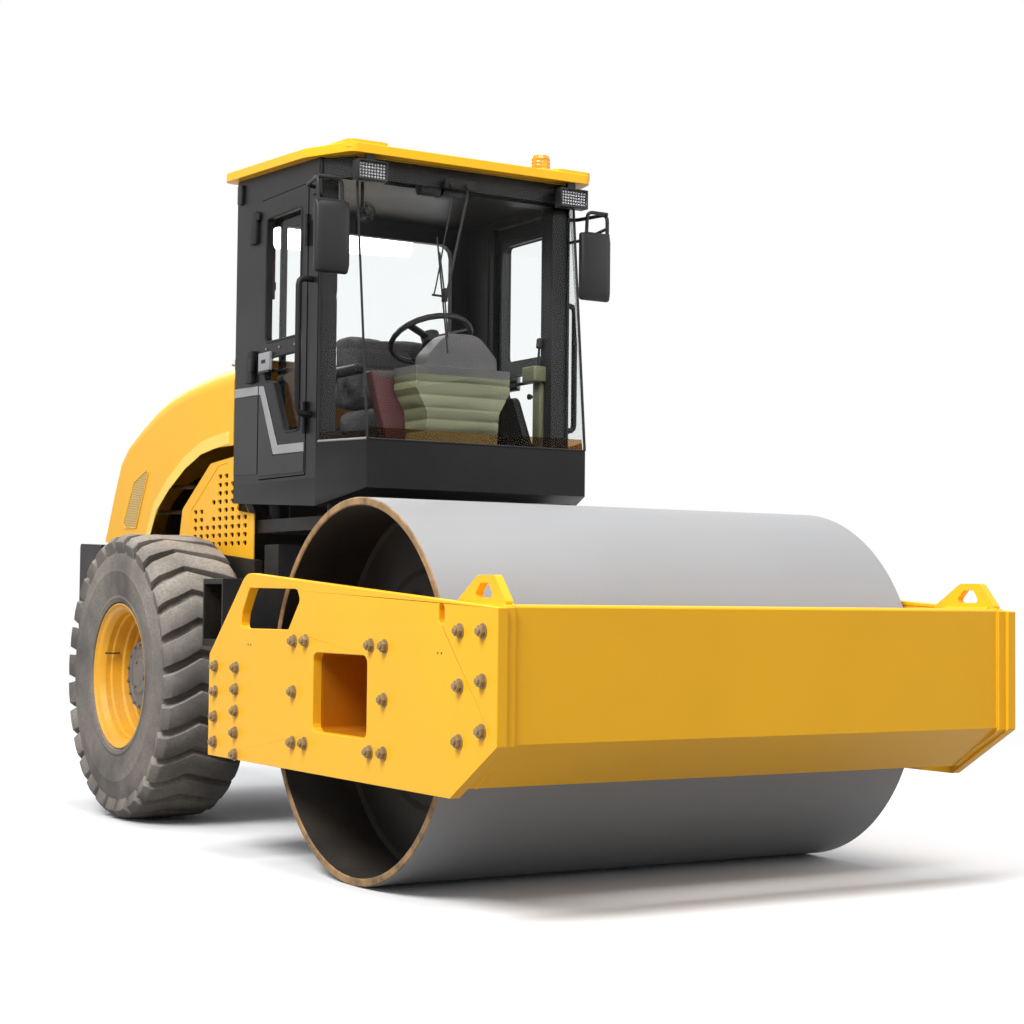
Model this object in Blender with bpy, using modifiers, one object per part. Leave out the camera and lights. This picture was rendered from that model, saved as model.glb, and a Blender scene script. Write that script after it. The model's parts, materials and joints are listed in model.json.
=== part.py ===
# Articulated single-drum road roller, modelled in metres with +Z up.
# The front of the machine faces -Y and its right-hand side faces -X.
# Lengths along Y are measured from the drum's axis; the whole machine then hangs on
# one empty that centres its overall length on the world origin.

import math

import bmesh
import bpy
from mathutils import Euler, Matrix, Vector

# ---- driving dimensions -------------------------------------------------------------
GAP = 0.0003                 # between pieces that touch
PIN_PLAY = 0.0006            # radial play of a pin in its bore

FRONT_REACH = 1.158          # drum axis to the front edge of the side plates
REAR_REACH = 4.25            # drum axis to the back of the counterweight

DRUM_RADIUS = 0.717
DRUM_WIDTH = 2.13
DRUM_WALL = 0.030
DRUM_HEAD_INSET = 0.31       # from the drum's end to its closing disc
DRUM_HEAD = 0.025
HUB_RADIUS = 0.16
HUB_REACH = 0.105            # the hub tube's length outside each disc
STUB_RADIUS = 0.10

PLATE = 0.04                 # side plate thickness
PLATE_INNER = 1.11           # inner face of a side plate, from the middle
PLATE_REAR = 1.165           # drum axis to the rear edge of the side plates
PLATE_LOW = 0.40
BOLT_RADIUS = 0.019
BOLT_HEAD = 0.028

BEAM_FRONT = 1.134           # front beam's face, ahead of the drum axis
BEAM_DEPTH = 0.29
BEAM_TOP = 1.042
BEAM_LOW = 0.434
REAR_BEAM_FRONT = 0.82
REAR_BEAM_LOW = 0.42
REAR_BEAM_TOP = 0.80

PIVOT_Y = 1.45               # steering pivot behind the drum axis
PIVOT_RADIUS = 0.05
HITCH_HALF = 0.13
HITCH_LOW = 0.43
HITCH_TOP = 0.79
HITCH_EAR = 0.05
HITCH_PLAY = 0.01

CYLINDER_Z = 0.56
BARREL_PIN = (0.37, 2.10)    # on the rear frame
ROD_PIN = (0.42, 1.33)       # on the front frame, wheels straight
BARREL_RADIUS = 0.045
BARREL_LENGTH = 0.49
ROD_RADIUS = 0.020
ROD_START = 0.265            # the rod's inner end, from the barrel's pin
EYE_RADIUS = 0.035
EYE_THICK = 0.05
CYLINDER_PIN = 0.018

AXLE_Y = 2.464
WHEEL_RADIUS = 0.679
TYRE_WIDTH = 0.445
RIM_RADIUS = 0.3175
WHEEL_X = 0.8675             # middle of a tyre
AXLE_TUBE = 0.09
HUB_DRUM = 0.165             # the gear case that shows in the rim

FRAME_HALF = 0.62            # outside of the rear frame's skirts
RAIL_OUT = 0.30
RAIL = 0.06
RAIL_TOP = 1.20
RAIL_LOW = 0.78
DECK_TOP = 1.42

CAB_HALF = 0.655
CAB_FRONT = 1.20             # front face of the front pillars
CAB_REAR = 2.08
CAB_WALL = 0.055
FLOOR_LOW = 1.50
FLOOR_TOP = 1.58
NOSE_Y = 0.905
NOSE_HALF = 0.558
NOSE_TOP = 1.735
NOSE_LOW = 1.53
GLASS = 0.006
GLASS_TOP_Y = 1.035          # the windscreen's top edge leans back to here
ROOF_FRONT = 0.965
ROOF_REAR = 2.16
ROOF_HALF_FRONT = 0.615
ROOF_HALF = 0.70
ROOF_LOW = 2.976             # underside of the roof at its front edge
ROOF_RISE = 0.05             # rise per metre towards the rear
ROOF_THICK = 0.042
ROOF_CROWN = 0.014           # the raised corners above the work lamps

DOOR_FRONT = 1.303
DOOR_REAR = 1.797
DOOR_LOW = 1.60
DOOR_TOP = 2.89
DOOR_THICK = 0.033
DOOR_PROUD = 0.003
DOOR_GAP = 0.004
HINGE_OFFSET = 0.010         # hinge axis outside the door's face
HINGE_RADIUS = 0.009
DOOR_HINGES = (("lower", 1.85), ("upper", 2.68))

OPERATOR_X = 0.04
SEAT_WIDTH = 0.50

HOOD_HALF = 0.64
HOOD_FRONT = 2.125
HOOD_SKIN = 0.006
HOOD_HINGE = (3.935, 1.402)

DRUM_Y = (FRONT_REACH - REAR_REACH) / 2.0
PLATE_OUTER = PLATE_INNER + PLATE
BEAM_HALF = PLATE_INNER - GAP
DRUM_HEAD_X = DRUM_WIDTH / 2.0 - DRUM_HEAD_INSET

# top line of the rear frame's skirts, from front to rear (y, z)
FRAME_TOP = ((1.951, 1.235), (2.873, 1.309), (3.84, 1.340))

SIDES = (("right", -1.0), ("left", 1.0))


# ---- collections and materials ------------------------------------------------------
for old in list(bpy.context.scene.objects):
    bpy.data.objects.remove(old, do_unlink=True)

roller = bpy.data.collections.new("road_roller")
cutters = bpy.data.collections.new("cutters")
bpy.context.scene.collection.children.link(roller)
bpy.context.scene.collection.children.link(cutters)

# name: colour, roughness, metallic
FINISHES = {
    "yellow_paint": ((0.90, 0.55, 0.06), 0.35, 0.0),
    "black_paint": ((0.030, 0.030, 0.033), 0.35, 0.0),
    "drum_steel": ((0.52, 0.52, 0.52), 0.35, 0.9),
    "dark_steel": ((0.08, 0.08, 0.08), 0.5, 0.6),
    "tyre_rubber": ((0.06, 0.055, 0.05), 0.85, 0.0),
    "chrome_rod": ((0.75, 0.75, 0.75), 0.12, 1.0),
    "cab_glass": ((0.85, 0.90, 0.92), 0.03, 0.0),
    "seat_fabric": ((0.09, 0.09, 0.10), 0.8, 0.0),
    "olive_plastic": ((0.36, 0.37, 0.27), 0.55, 0.0),
    "black_plastic": ((0.02, 0.02, 0.02), 0.5, 0.0),
    "lamp_lens": ((0.85, 0.87, 0.88), 0.1, 0.0),
    "amber_lens": ((0.90, 0.45, 0.03), 0.2, 0.0),
}


def finish(name):
    found = bpy.data.materials.get(name)
    if found:
        return found
    colour, roughness, metallic = FINISHES[name]
    made = bpy.data.materials.new(name)
    made.use_nodes = True
    shader = made.node_tree.nodes["Principled BSDF"]
    shader.inputs["Base Color"].default_value = (*colour, 1.0)
    shader.inputs["Roughness"].default_value = roughness
    shader.inputs["Metallic"].default_value = metallic
    return made


# ---- shape helpers ------------------------------------------------------------------
def put(name, mesh, location=(0, 0, 0), rotation=(0, 0, 0)):
    obj = bpy.data.objects.new(name, mesh)
    obj.location = location
    obj.rotation_euler = rotation
    roller.objects.link(obj)
    return obj


def closed(mesh):
    """Weld a mesh and turn its faces outwards."""
    work = bmesh.new()
    work.from_mesh(mesh)
    bmesh.ops.remove_doubles(work, verts=work.verts, dist=0.00002)
    bmesh.ops.recalc_face_normals(work, faces=work.faces)
    work.to_mesh(mesh)
    work.free()
    return mesh


def freeze(obj):
    """Make a curve, or a mesh with modifiers, a plain welded mesh in the same place."""
    bpy.context.view_layer.update()
    graph = bpy.context.evaluated_depsgraph_get()
    mesh = closed(bpy.data.meshes.new_from_object(obj.evaluated_get(graph)))
    name, place = obj.name, obj.matrix_world.copy()
    bpy.data.objects.remove(obj, do_unlink=True)
    made = put(name, mesh)
    made.matrix_world = place
    return made


def box(name, low, high):
    centre = [(a + b) / 2.0 for a, b in zip(low, high)]
    size = [b - a for a, b in zip(low, high)]
    mesh = bpy.data.meshes.new(name)
    work = bmesh.new()
    bmesh.ops.create_cube(work, size=1.0, matrix=Matrix.Diagonal((*size, 1.0)))
    work.to_mesh(mesh)
    work.free()
    return put(name, mesh, centre)


def mirrored_box(name, side, low, high):
    """A box given for the left-hand side (+X), or its image on the right-hand side."""
    if side > 0:
        return box(name, low, high)
    return box(name, (-high[0], low[1], low[2]), (-low[0], high[1], high[2]))


def turn_to(axis):
    """Rotation that takes a shape's own Z to the named axis."""
    return {"X": (0, math.pi / 2, 0), "Y": (-math.pi / 2, 0, 0), "Z": (0, 0, 0)}[axis]


def cylinder(name, radius, centre, length, axis, segments=24):
    mesh = bpy.data.meshes.new(name)
    work = bmesh.new()
    bmesh.ops.create_cone(work, cap_ends=True, segments=segments, radius1=radius,
                          radius2=radius, depth=length)
    work.to_mesh(mesh)
    work.free()
    return put(name, mesh, centre, turn_to(axis))


def turned(name, profile, centre, axis, steps=32, loop=True):
    """Screw a profile of (radius, along) about the named axis."""
    mesh = bpy.data.meshes.new(name)
    count = len(profile)
    edges = [(i, (i + 1) % count) for i in range(count if loop else count - 1)]
    mesh.from_pydata([(r, 0.0, a) for r, a in profile], edges, [])
    obj = put(name, mesh, centre, turn_to(axis))
    screw = obj.modifiers.new("turn", "SCREW")
    screw.angle = math.tau
    screw.steps = screw.render_steps = steps
    screw.use_merge_vertices = True
    screw.merge_threshold = 0.00005
    return freeze(obj)


def rounded(points, arc=3):
    """Outline points; a third number rounds that corner with an arc of that radius."""
    outline = []
    count = len(points)
    for i, point in enumerate(points):
        here = Vector(point[:2])
        if len(point) < 3:
            outline.append(here)
            continue
        before = (Vector(points[i - 1][:2]) - here).normalized()
        after = (Vector(points[(i + 1) % count][:2]) - here).normalized()
        half = before.angle(after) / 2.0
        reach = point[2] / math.tan(half)
        centre = here + (before + after).normalized() * point[2] / math.sin(half)
        start = here + before * reach - centre
        end = here + after * reach - centre
        sweep = math.atan2(start.x * end.y - start.y * end.x, start.dot(end))
        for step in range(arc + 1):
            angle = sweep * step / arc
            outline.append(centre + Matrix.Rotation(angle, 2) @ start)
    return outline


def plate(name, outlines, plane, low, high):
    """Extrude flat outlines (the first is the edge, the rest are holes).

    plane YZ runs from low to high along X, XZ along Y and XY along Z.
    """
    curve = bpy.data.curves.new(name, "CURVE")
    curve.dimensions = "2D"
    curve.fill_mode = "BOTH"
    curve.extrude = (high - low) / 2.0
    for outline in outlines:
        points = rounded(outline)
        spline = curve.splines.new("POLY")
        spline.points.add(len(points) - 1)
        for knot, point in zip(spline.points, points):
            knot.co = (point.x, point.y, 0.0, 1.0)
        spline.use_cyclic_u = True
    middle = (low + high) / 2.0
    place, turn = {
        "YZ": ((middle, 0, 0), (math.pi / 2, 0, math.pi / 2)),
        "XZ": ((0, middle, 0), (math.pi / 2, 0, 0)),
        "XY": ((0, 0, middle), (0, 0, 0)),
    }[plane]
    return freeze(put(name, curve, place, turn))


def side_plate_of(name, outlines, side, inner, outer):
    """A plate in the YZ plane between two distances from the middle, on one side."""
    low, high = sorted((side * inner, side * outer))
    return plate(name, outlines, "YZ", low, high)


def rod_along(name, points, radius, sides=2):
    """A round bar along a run of points."""
    curve = bpy.data.curves.new(name, "CURVE")
    curve.dimensions = "3D"
    curve.bevel_depth = radius
    curve.bevel_resolution = sides
    curve.use_fill_caps = True
    spline = curve.splines.new("POLY")
    spline.points.add(len(points) - 1)
    for knot, point in zip(spline.points, points):
        knot.co = (*point, 1.0)
    return freeze(put(name, curve))


def bend(points, radius, arc=3):
    """Round the corners of a run of 3-D points."""
    run = [Vector(points[0])]
    for before, here, after in zip(points, points[1:], points[2:]):
        here = Vector(here)
        back = (Vector(before) - here).normalized()
        ahead = (Vector(after) - here).normalized()
        for step in range(arc + 1):
            t = step / arc
            start, end = here + back * radius, here + ahead * radius
            run.append(start.lerp(here, t).lerp(here.lerp(end, t), t))
    run.append(Vector(points[-1]))
    return run


def combine(base, operation, *pieces):
    for piece in pieces:
        change = base.modifiers.new(piece.name, "BOOLEAN")
        change.operation = operation
        change.solver = "EXACT"
        change.object = piece
        roller.objects.unlink(piece)
        cutters.objects.link(piece)
        piece.display_type = "WIRE"
        piece.hide_render = True
    return base


def join(base, *pieces):
    return combine(base, "UNION", *pieces)


def cut(base, *pieces):
    return combine(base, "DIFFERENCE", *pieces)


def soften(obj, width, segments=2, angle=50.0):
    bevel = obj.modifiers.new("soft_edges", "BEVEL")
    bevel.width = width
    bevel.segments = segments
    bevel.limit_method = "ANGLE"
    bevel.angle_limit = math.radians(angle)
    return obj


def smooth(obj, angle=35.0):
    obj.data.shade_smooth()
    obj.data.set_sharp_from_angle(angle=math.radians(angle))
    return obj


# ---- empties on the joint axes ------------------------------------------------------
axes = {}


def axis_empty(name, location, parent=None):
    """An empty; its location is measured like every other, from the drum's axis."""
    empty = bpy.data.objects.new(name, None)
    empty.empty_display_size = 0.15
    roller.objects.link(empty)
    place = Vector(location)
    axes[name] = (empty, place)
    if parent:
        holder, origin = axes[parent]
        empty.parent = holder
        empty.location = place - origin
    else:
        empty.location = place + Vector((0, DRUM_Y, 0))
    return empty


def hang(obj, parent, colour=None):
    """Parent a piece, and the shapes its modifiers use, to a joint's empty."""
    empty, origin = axes[parent]
    obj.parent = empty
    obj.location = obj.location - origin
    if colour:
        obj.data.materials.clear()
        obj.data.materials.append(finish(colour))
        smooth(obj)
    for change in obj.modifiers:
        if change.type == "BOOLEAN":
            hang(change.object, parent)
    return obj


axis_empty("machine", (0, 0, 0))
axis_empty("steering_axis", (0, PIVOT_Y, (HITCH_LOW + HITCH_TOP) / 2.0), "machine")
axis_empty("drum_axis", (0, 0, DRUM_RADIUS), "steering_axis")
axis_empty("hood_hinge", (0, *HOOD_HINGE), "machine")
for word, side in SIDES:
    axis_empty(f"wheel_axis_{word}", (side * WHEEL_X, AXLE_Y, WHEEL_RADIUS), "machine")
    axis_empty(f"door_hinge_{word}",
               (side * (CAB_HALF + DOOR_PROUD + HINGE_OFFSET), DOOR_FRONT - 0.008, DOOR_LOW),
               "machine")
    axis_empty(f"barrel_pin_{word}", (side * BARREL_PIN[0], BARREL_PIN[1], CYLINDER_Z),
               "machine")


# ---- drum ---------------------------------------------------------------------------
def make_drum():
    half = DRUM_WIDTH / 2.0
    inner = DRUM_RADIUS - DRUM_WALL
    shell = turned("drum_shell",
                   [(DRUM_RADIUS, half), (DRUM_RADIUS, -half), (inner, -half), (inner, half)],
                   (0, 0, DRUM_RADIUS), "X", steps=64)
    hang(shell, "drum_axis", "drum_steel")

    steps = 32
    bore = (STUB_RADIUS + PIN_PLAY) / math.cos(math.pi / steps)
    disc = inner - GAP
    near = DRUM_HEAD_X - DRUM_HEAD
    end = DRUM_HEAD_X + HUB_REACH
    profile = [(bore, end), (HUB_RADIUS, end), (HUB_RADIUS, DRUM_HEAD_X),
               (disc, DRUM_HEAD_X), (disc, near), (HUB_RADIUS, near)]
    profile += [(r, -a) for r, a in reversed(profile)]
    core = turned("drum_core", profile, (0, 0, DRUM_RADIUS), "X", steps)
    hang(core, "drum_axis", "dark_steel")


# ---- front frame --------------------------------------------------------------------
# square window in a side plate, and the recess box behind it (y, z)
WINDOW = (-0.262, 0.176, 0.557, 0.853)
CARRIER_WALL = 0.022

# outline of a side plate (y, z, corner radius)
PLATE_EDGE = [(-FRONT_REACH, 0.587), (-FRONT_REACH, 1.033), (0.80, 1.157, 0.10),
              (PLATE_REAR, 0.82), (PLATE_REAR, PLATE_LOW), (-0.863, PLATE_LOW)]
PEEP_HOLE = [(0.765, 1.095, 0.03), (0.325, 1.091, 0.03), (0.298, 1.05, 0.02),
             (0.400, 0.934, 0.03), (0.850, 0.932, 0.02), (0.835, 0.995, 0.03)]

# bolt groups on a side plate: y, lowest z, highest z, how many
BOLT_COLUMNS = ((1.093, 0.459, 0.771, 4), (0.882, 0.421, 0.772, 5), (0.342, 0.505, 0.892, 3),
                (0.238, 0.508, 0.895, 2), (-0.292, 0.513, 0.891, 2), (-0.396, 0.515, 0.890, 3),
                (-0.921, 0.591, 0.954, 3), (-1.068, 0.633, 0.956, 3))


def square(y_low, y_high, z_low, z_high, radius):
    return [(y_low, z_low, radius), (y_high, z_low, radius),
            (y_high, z_high, radius), (y_low, z_high, radius)]


def make_side_plates():
    for word, side in SIDES:
        slot = square(-0.815, -0.775, 0.972, 1.042, 0.0195)
        body = side_plate_of(f"side_plate_{word}",
                             [PLATE_EDGE, PEEP_HOLE, square(*WINDOW, 0.03), slot],
                             side, PLATE_INNER, PLATE_OUTER)
        for column, (y, low, high, count) in enumerate(BOLT_COLUMNS):
            for row in range(count):
                z = low + (high - low) * row / (count - 1)
                middle = PLATE_OUTER + BOLT_HEAD / 2.0 - 0.002
                bolt = cylinder(f"bolt_{word}_{column}_{row}", BOLT_RADIUS,
                                (side * middle, y, z), BOLT_HEAD + 0.004, "X", segments=6)
                join(body, bolt)
        hang(body, "steering_axis", "yellow_paint")


def make_carriers():
    y_low, y_high, z_low, z_high = WINDOW
    wall = CARRIER_WALL
    flange = 0.03
    end = DRUM_HEAD_X + HUB_REACH + 0.005
    for word, side in SIDES:
        body = side_plate_of(f"drum_carrier_{word}",
                             [square(-0.46, 0.39, 0.44, 0.955, 0.05), square(*WINDOW, 0.02)],
                             side, PLATE_INNER - GAP - flange, PLATE_INNER - GAP)
        tube = side_plate_of(f"carrier_tube_{word}",
                             [square(y_low - wall, y_high + wall, z_low - wall,
                                     z_high + wall, 0.03), square(*WINDOW, 0.02)],
                             side, end + 0.01, PLATE_INNER - GAP - flange / 2.0)
        floor = mirrored_box(f"carrier_end_{word}", side,
                             (end, y_low - wall, z_low - wall),
                             (end + wall, y_high + wall, z_high + wall))
        length = HUB_REACH + 0.06
        stub = cylinder(f"carrier_stub_{word}", STUB_RADIUS,
                        (side * (end + 0.01 - length / 2.0), 0, DRUM_RADIUS), length, "X", 24)
        join(body, tube, floor, stub)
        hang(body, "steering_axis", "yellow_paint")


def make_front_beam():
    back = BEAM_FRONT - BEAM_DEPTH
    section = [(-BEAM_FRONT, 0.592), (-BEAM_FRONT, BEAM_TOP, 0.012), (-back, BEAM_TOP, 0.012),
               (-back, BEAM_LOW), (-0.906, BEAM_LOW)]
    beam = plate("front_beam", [section], "YZ", -BEAM_HALF, BEAM_HALF)
    flange = 0.012
    for word, side in SIDES:
        edge = [(y - flange if y < -back else y, z) for y, z in
                ((-BEAM_FRONT, 0.586), (-BEAM_FRONT, BEAM_TOP - 0.01),
                 (-back - 0.01, BEAM_TOP - 0.01), (-back - 0.01, BEAM_LOW + 0.01),
                 (-0.900, BEAM_LOW + 0.01))]
        end = side_plate_of(f"beam_flange_{word}", [edge], side, 1.075, BEAM_HALF)
        low = BEAM_TOP - 0.02
        eye = side_plate_of(f"lifting_eye_{word}",
                            [[(-1.125, low), (-1.125, BEAM_TOP + 0.01, 0.01),
                              (-1.050, 1.138, 0.02), (-0.945, 1.138, 0.03),
                              (-0.800, BEAM_TOP + 0.005, 0.004), (-0.800, low)],
                             [(-1.050, 1.064, 0.012), (-1.015, 1.112, 0.012),
                              (-0.965, 1.112, 0.012), (-0.915, 1.064, 0.012)]],
                            side, 1.070, 1.100)
        join(beam, end, eye)
    hang(beam, "steering_axis", "yellow_paint")


def make_rear_beam():
    beam = plate("rear_beam",
                 [square(REAR_BEAM_FRONT, PLATE_REAR - 0.005, REAR_BEAM_LOW, REAR_BEAM_TOP,
                         0.012)], "YZ", -BEAM_HALF, BEAM_HALF)
    root = PLATE_REAR - 0.03
    bore = PIVOT_RADIUS + PIN_PLAY
    for word, low in (("low", HITCH_LOW), ("top", HITCH_TOP - HITCH_EAR)):
        ear = plate(f"hitch_ear_{word}",
                    [[(-HITCH_HALF - 0.10, root), (HITCH_HALF + 0.10, root),
                      (HITCH_HALF, PIVOT_Y + HITCH_HALF, HITCH_HALF * 0.98),
                      (-HITCH_HALF, PIVOT_Y + HITCH_HALF, HITCH_HALF * 0.98)]],
                    "XY", low, low + HITCH_EAR)
        join(beam, ear)
        cut(beam, cylinder(f"hitch_bore_{word}", bore,
                           (0, PIVOT_Y, low + HITCH_EAR / 2.0), HITCH_EAR * 1.5, "Z", 32))
    for word, side in SIDES:
        x, y = side * ROD_PIN[0], ROD_PIN[1]
        for level, low in (("low", CYLINDER_Z - EYE_THICK / 2.0 - 0.035),
                           ("top", CYLINDER_Z + EYE_THICK / 2.0 + 0.005)):
            ear = box(f"rod_ear_{word}_{level}", (x - 0.055, root, low),
                      (x + 0.055, y + 0.028, low + 0.03))
            head = cylinder(f"rod_pin_head_{word}_{level}", 0.024,
                            (x, y - 0.004, low + (-0.006 if level == "low" else 0.036)),
                            0.016, "Z", 12)
            join(beam, ear, head)
    hang(beam, "steering_axis", "black_paint")


# ---- rear frame ---------------------------------------------------------------------
def make_chassis():
    tongue_low = HITCH_LOW + HITCH_EAR + HITCH_PLAY
    tongue_top = HITCH_TOP - HITCH_EAR - HITCH_PLAY
    front = PIVOT_Y + 0.27
    body = box("chassis", (-RAIL_OUT, front, tongue_low), (RAIL_OUT, front + 0.08, DECK_TOP - 0.01))
    tongue = plate("pivot_tongue",
                   [[(-HITCH_HALF, PIVOT_Y - HITCH_HALF, HITCH_HALF * 0.98),
                     (HITCH_HALF, PIVOT_Y - HITCH_HALF, HITCH_HALF * 0.98),
                     (HITCH_HALF, front + 0.04), (-HITCH_HALF, front + 0.04)]],
                   "XY", tongue_low, tongue_top)
    pin = cylinder("pivot_pin", PIVOT_RADIUS, (0, PIVOT_Y, (HITCH_LOW + HITCH_TOP) / 2.0),
                   HITCH_TOP - HITCH_LOW + 0.06, "Z", 32)
    join(body, tongue, pin)
    join(body, box("outrigger", (-FRAME_HALF, 1.64, 1.00), (FRAME_HALF, front + 0.07, 1.30)))
    join(body, box("cab_deck", (-0.58, 1.16, DECK_TOP - 0.06), (0.58, 2.05, DECK_TOP)))
    join(body, box("deck_post", (-0.29, 1.96, RAIL_TOP - 0.05), (0.29, 2.03, DECK_TOP - 0.02)))
    join(body, box("rear_plate", (-FRAME_HALF + 0.01, 3.80, 0.80),
                   (FRAME_HALF - 0.01, REAR_REACH - 0.35, 1.325)))
    join(body, box("skirt_tie", (-FRAME_HALF + 0.01, 1.91, 1.02), (FRAME_HALF - 0.01, 1.97, 1.20)))
    for word, side in SIDES:
        rail = mirrored_box(f"rail_{word}", side, (RAIL_OUT - RAIL, front + 0.03, RAIL_LOW),
                            (RAIL_OUT - 0.003, 3.85, RAIL_TOP))
        skirt_edge = [*FRAME_TOP, (3.84, 1.00), (1.90, 1.00), (1.90, FRAME_TOP[0][1] - 0.004)]
        skirt = side_plate_of(f"skirt_{word}", [skirt_edge], side, FRAME_HALF - 0.04, FRAME_HALF)
        x, y = BARREL_PIN
        back = mirrored_box(f"barrel_back_{word}", side, (RAIL_OUT - 0.05, y + 0.055, 0.50),
                            (x + 0.05, y + 0.085, RAIL_LOW + 0.05))
        low_ear = mirrored_box(f"barrel_ear_low_{word}", side, (x - 0.05, y - 0.03, 0.50),
                               (x + 0.05, y + 0.06, 0.53))
        top_ear = mirrored_box(f"barrel_ear_top_{word}", side, (x - 0.05, y - 0.03, 0.59),
                               (x + 0.05, y + 0.06, 0.62))
        pin = cylinder(f"barrel_bolt_{word}", CYLINDER_PIN, (side * x, y, CYLINDER_Z),
                       0.16, "Z", 16)
        join(body, rail, skirt, back, low_ear, top_ear, pin)
    hang(body, "machine", "black_paint")


def make_counterweight():
    low, high = 0.72, FRAME_TOP[-1][1]
    edge = [(REAR_REACH - 0.35 + GAP, low + 0.06), (REAR_REACH - 0.06, low, 0.05),
            (REAR_REACH, 0.82, 0.04), (REAR_REACH, high + 0.013, 0.02),
            (REAR_REACH - 0.35 + GAP, high)]
    body = plate("counterweight", [edge], "YZ", -HOOD_HALF, HOOD_HALF)
    y, z = HOOD_HINGE
    for word, side in SIDES:
        for place, x in (("inner", 0.28), ("outer", 0.42)):
            join(body, mirrored_box(f"hinge_ear_{word}_{place}", side,
                                    (x - 0.008, y - 0.018, high - 0.02),
                                    (x + 0.008, y + 0.018, z + 0.016)))
        join(body, cylinder(f"hinge_pin_{word}", 0.010, (side * 0.35, y, z), 0.15, "X", 16))
    hang(body, "machine", "black_paint")


def make_axle():
    end = WHEEL_X - 0.20 - 0.0005
    housing = cylinder("axle_housing", AXLE_TUBE, (0, AXLE_Y, WHEEL_RADIUS), 2 * end, "X", 24)
    bulge = turned("axle_bulge", [(0.0, 0.17), (0.15, 0.15), (0.20, 0.06), (0.20, -0.06),
                                  (0.15, -0.15), (0.0, -0.17)],
                   (0, AXLE_Y, WHEEL_RADIUS), "X", steps=20, loop=False)
    join(housing, bulge)
    for word, side in SIDES:
        join(housing, mirrored_box(f"axle_pad_{word}", side,
                                   (RAIL_OUT - RAIL, AXLE_Y - 0.08, WHEEL_RADIUS),
                                   (RAIL_OUT, AXLE_Y + 0.08, RAIL_LOW - GAP)))
    hang(housing, "machine", "dark_steel")


def make_wheels():
    half = TYRE_WIDTH / 2.0
    bead = RIM_RADIUS + GAP
    tread = [(WHEEL_RADIUS - 0.045, half * 0.93), (WHEEL_RADIUS - 0.008, half * 0.80)]
    outer = [(bead, half - 0.056), (0.349, half - 0.050), (0.352, half - 0.022),
             (0.430, half - 0.006), (0.520, half), *tread]
    tyre_profile = outer + [(r, -a) for r, a in reversed(outer)]
    tyre_profile[len(outer):len(outer)] = [(WHEEL_RADIUS, half * 0.35), (WHEEL_RADIUS, -half * 0.35)]
    lip = half - 0.052
    wall = 0.014
    disc_out, disc_in = -0.045, -0.063
    disc_bore = HUB_DRUM + 0.003
    seat = RIM_RADIUS
    rim_profile = [(seat + 0.028, half - 0.028), (seat, lip), (seat, -lip),
                   (seat + 0.028, -half + 0.028), (seat + 0.014, -half + 0.022),
                   (seat - wall, -lip - 0.004), (seat - wall, disc_in), (disc_bore, disc_in),
                   (disc_bore, disc_out), (seat - wall - 0.02, disc_out), (seat - wall, disc_out + 0.02),
                   (seat - wall, lip + 0.004), (seat + 0.014, half - 0.022)]
    hub_profile = [(0.0, 0.104), (0.080, 0.104), (0.090, 0.088), (0.152, 0.088),
                   (HUB_DRUM, 0.075), (HUB_DRUM, disc_in - GAP), (0.225, disc_in - GAP),
                   (0.225, disc_in - 0.022), (0.13, disc_in - 0.03), (0.13, -0.20), (0.0, -0.20)]
    for word, side in SIDES:
        centre = (side * WHEEL_X, AXLE_Y, WHEEL_RADIUS)
        axis = f"wheel_axis_{word}"
        for name, profile, steps, loop, colour in (
                ("tyre", tyre_profile, 36, True, "tyre_rubber"),
                ("rim", rim_profile, 36, True, "yellow_paint"),
                ("hub", hub_profile, 24, False, "dark_steel")):
            shape = [(r, side * a) for r, a in profile]
            hang(turned(f"{name}_{word}", shape, centre, "X", steps, loop), axis, colour)


def make_engine():
    lower = box("engine_block", (-0.235, 2.75, 0.90), (0.235, 3.50, RAIL_TOP + 0.02))
    join(lower, box("engine_top", (-RAIL_OUT, 2.78, RAIL_TOP + GAP), (RAIL_OUT, 3.47, 1.60)))
    hang(lower, "machine", "dark_steel")


def make_cylinders():
    for word, side in SIDES:
        a = Vector((side * BARREL_PIN[0], BARREL_PIN[1], CYLINDER_Z))
        b = Vector((side * ROD_PIN[0], ROD_PIN[1], CYLINDER_Z))
        run = b - a
        turn = (math.pi / 2, 0, math.atan2(run.x, -run.y))
        length = run.length

        def along(piece, reach):
            piece.location = a + run.normalized() * reach
            piece.rotation_euler = turn
            return piece

        bore = ROD_RADIUS + PIN_PLAY
        barrel = turned(f"steer_barrel_{word}",
                        [(0.0, 0.04), (BARREL_RADIUS, 0.04), (BARREL_RADIUS, BARREL_LENGTH),
                         (bore, BARREL_LENGTH), (bore, BARREL_LENGTH - 0.03),
                         (0.036, BARREL_LENGTH - 0.03), (0.036, 0.05), (0.0, 0.05)],
                        (0, 0, 0), "Z", 24, loop=False)
        along(barrel, 0)
        join(barrel, cylinder(f"barrel_eye_{word}", EYE_RADIUS, a, EYE_THICK, "Z", 24))
        neck = along(cylinder(f"barrel_neck_{word}", 0.028, a, 0.04, "Z", 16), 0.028)
        join(barrel, neck)
        cut(barrel, cylinder(f"barrel_bore_{word}", CYLINDER_PIN + PIN_PLAY, a,
                             EYE_THICK * 2, "Z", 16))
        hang(barrel, f"barrel_pin_{word}", "yellow_paint")

        reach = length - ROD_START - 0.01
        rod = along(cylinder(f"steer_rod_{word}", ROD_RADIUS, a, reach, "Z", 24),
                    ROD_START + reach / 2.0)
        join(rod, cylinder(f"rod_eye_{word}", EYE_RADIUS, b, EYE_THICK, "Z", 24))
        cut(rod, cylinder(f"rod_bore_{word}", CYLINDER_PIN + PIN_PLAY, b, EYE_THICK * 2, "Z", 16))
        hang(rod, f"barrel_pin_{word}", "chrome_rod")


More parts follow.
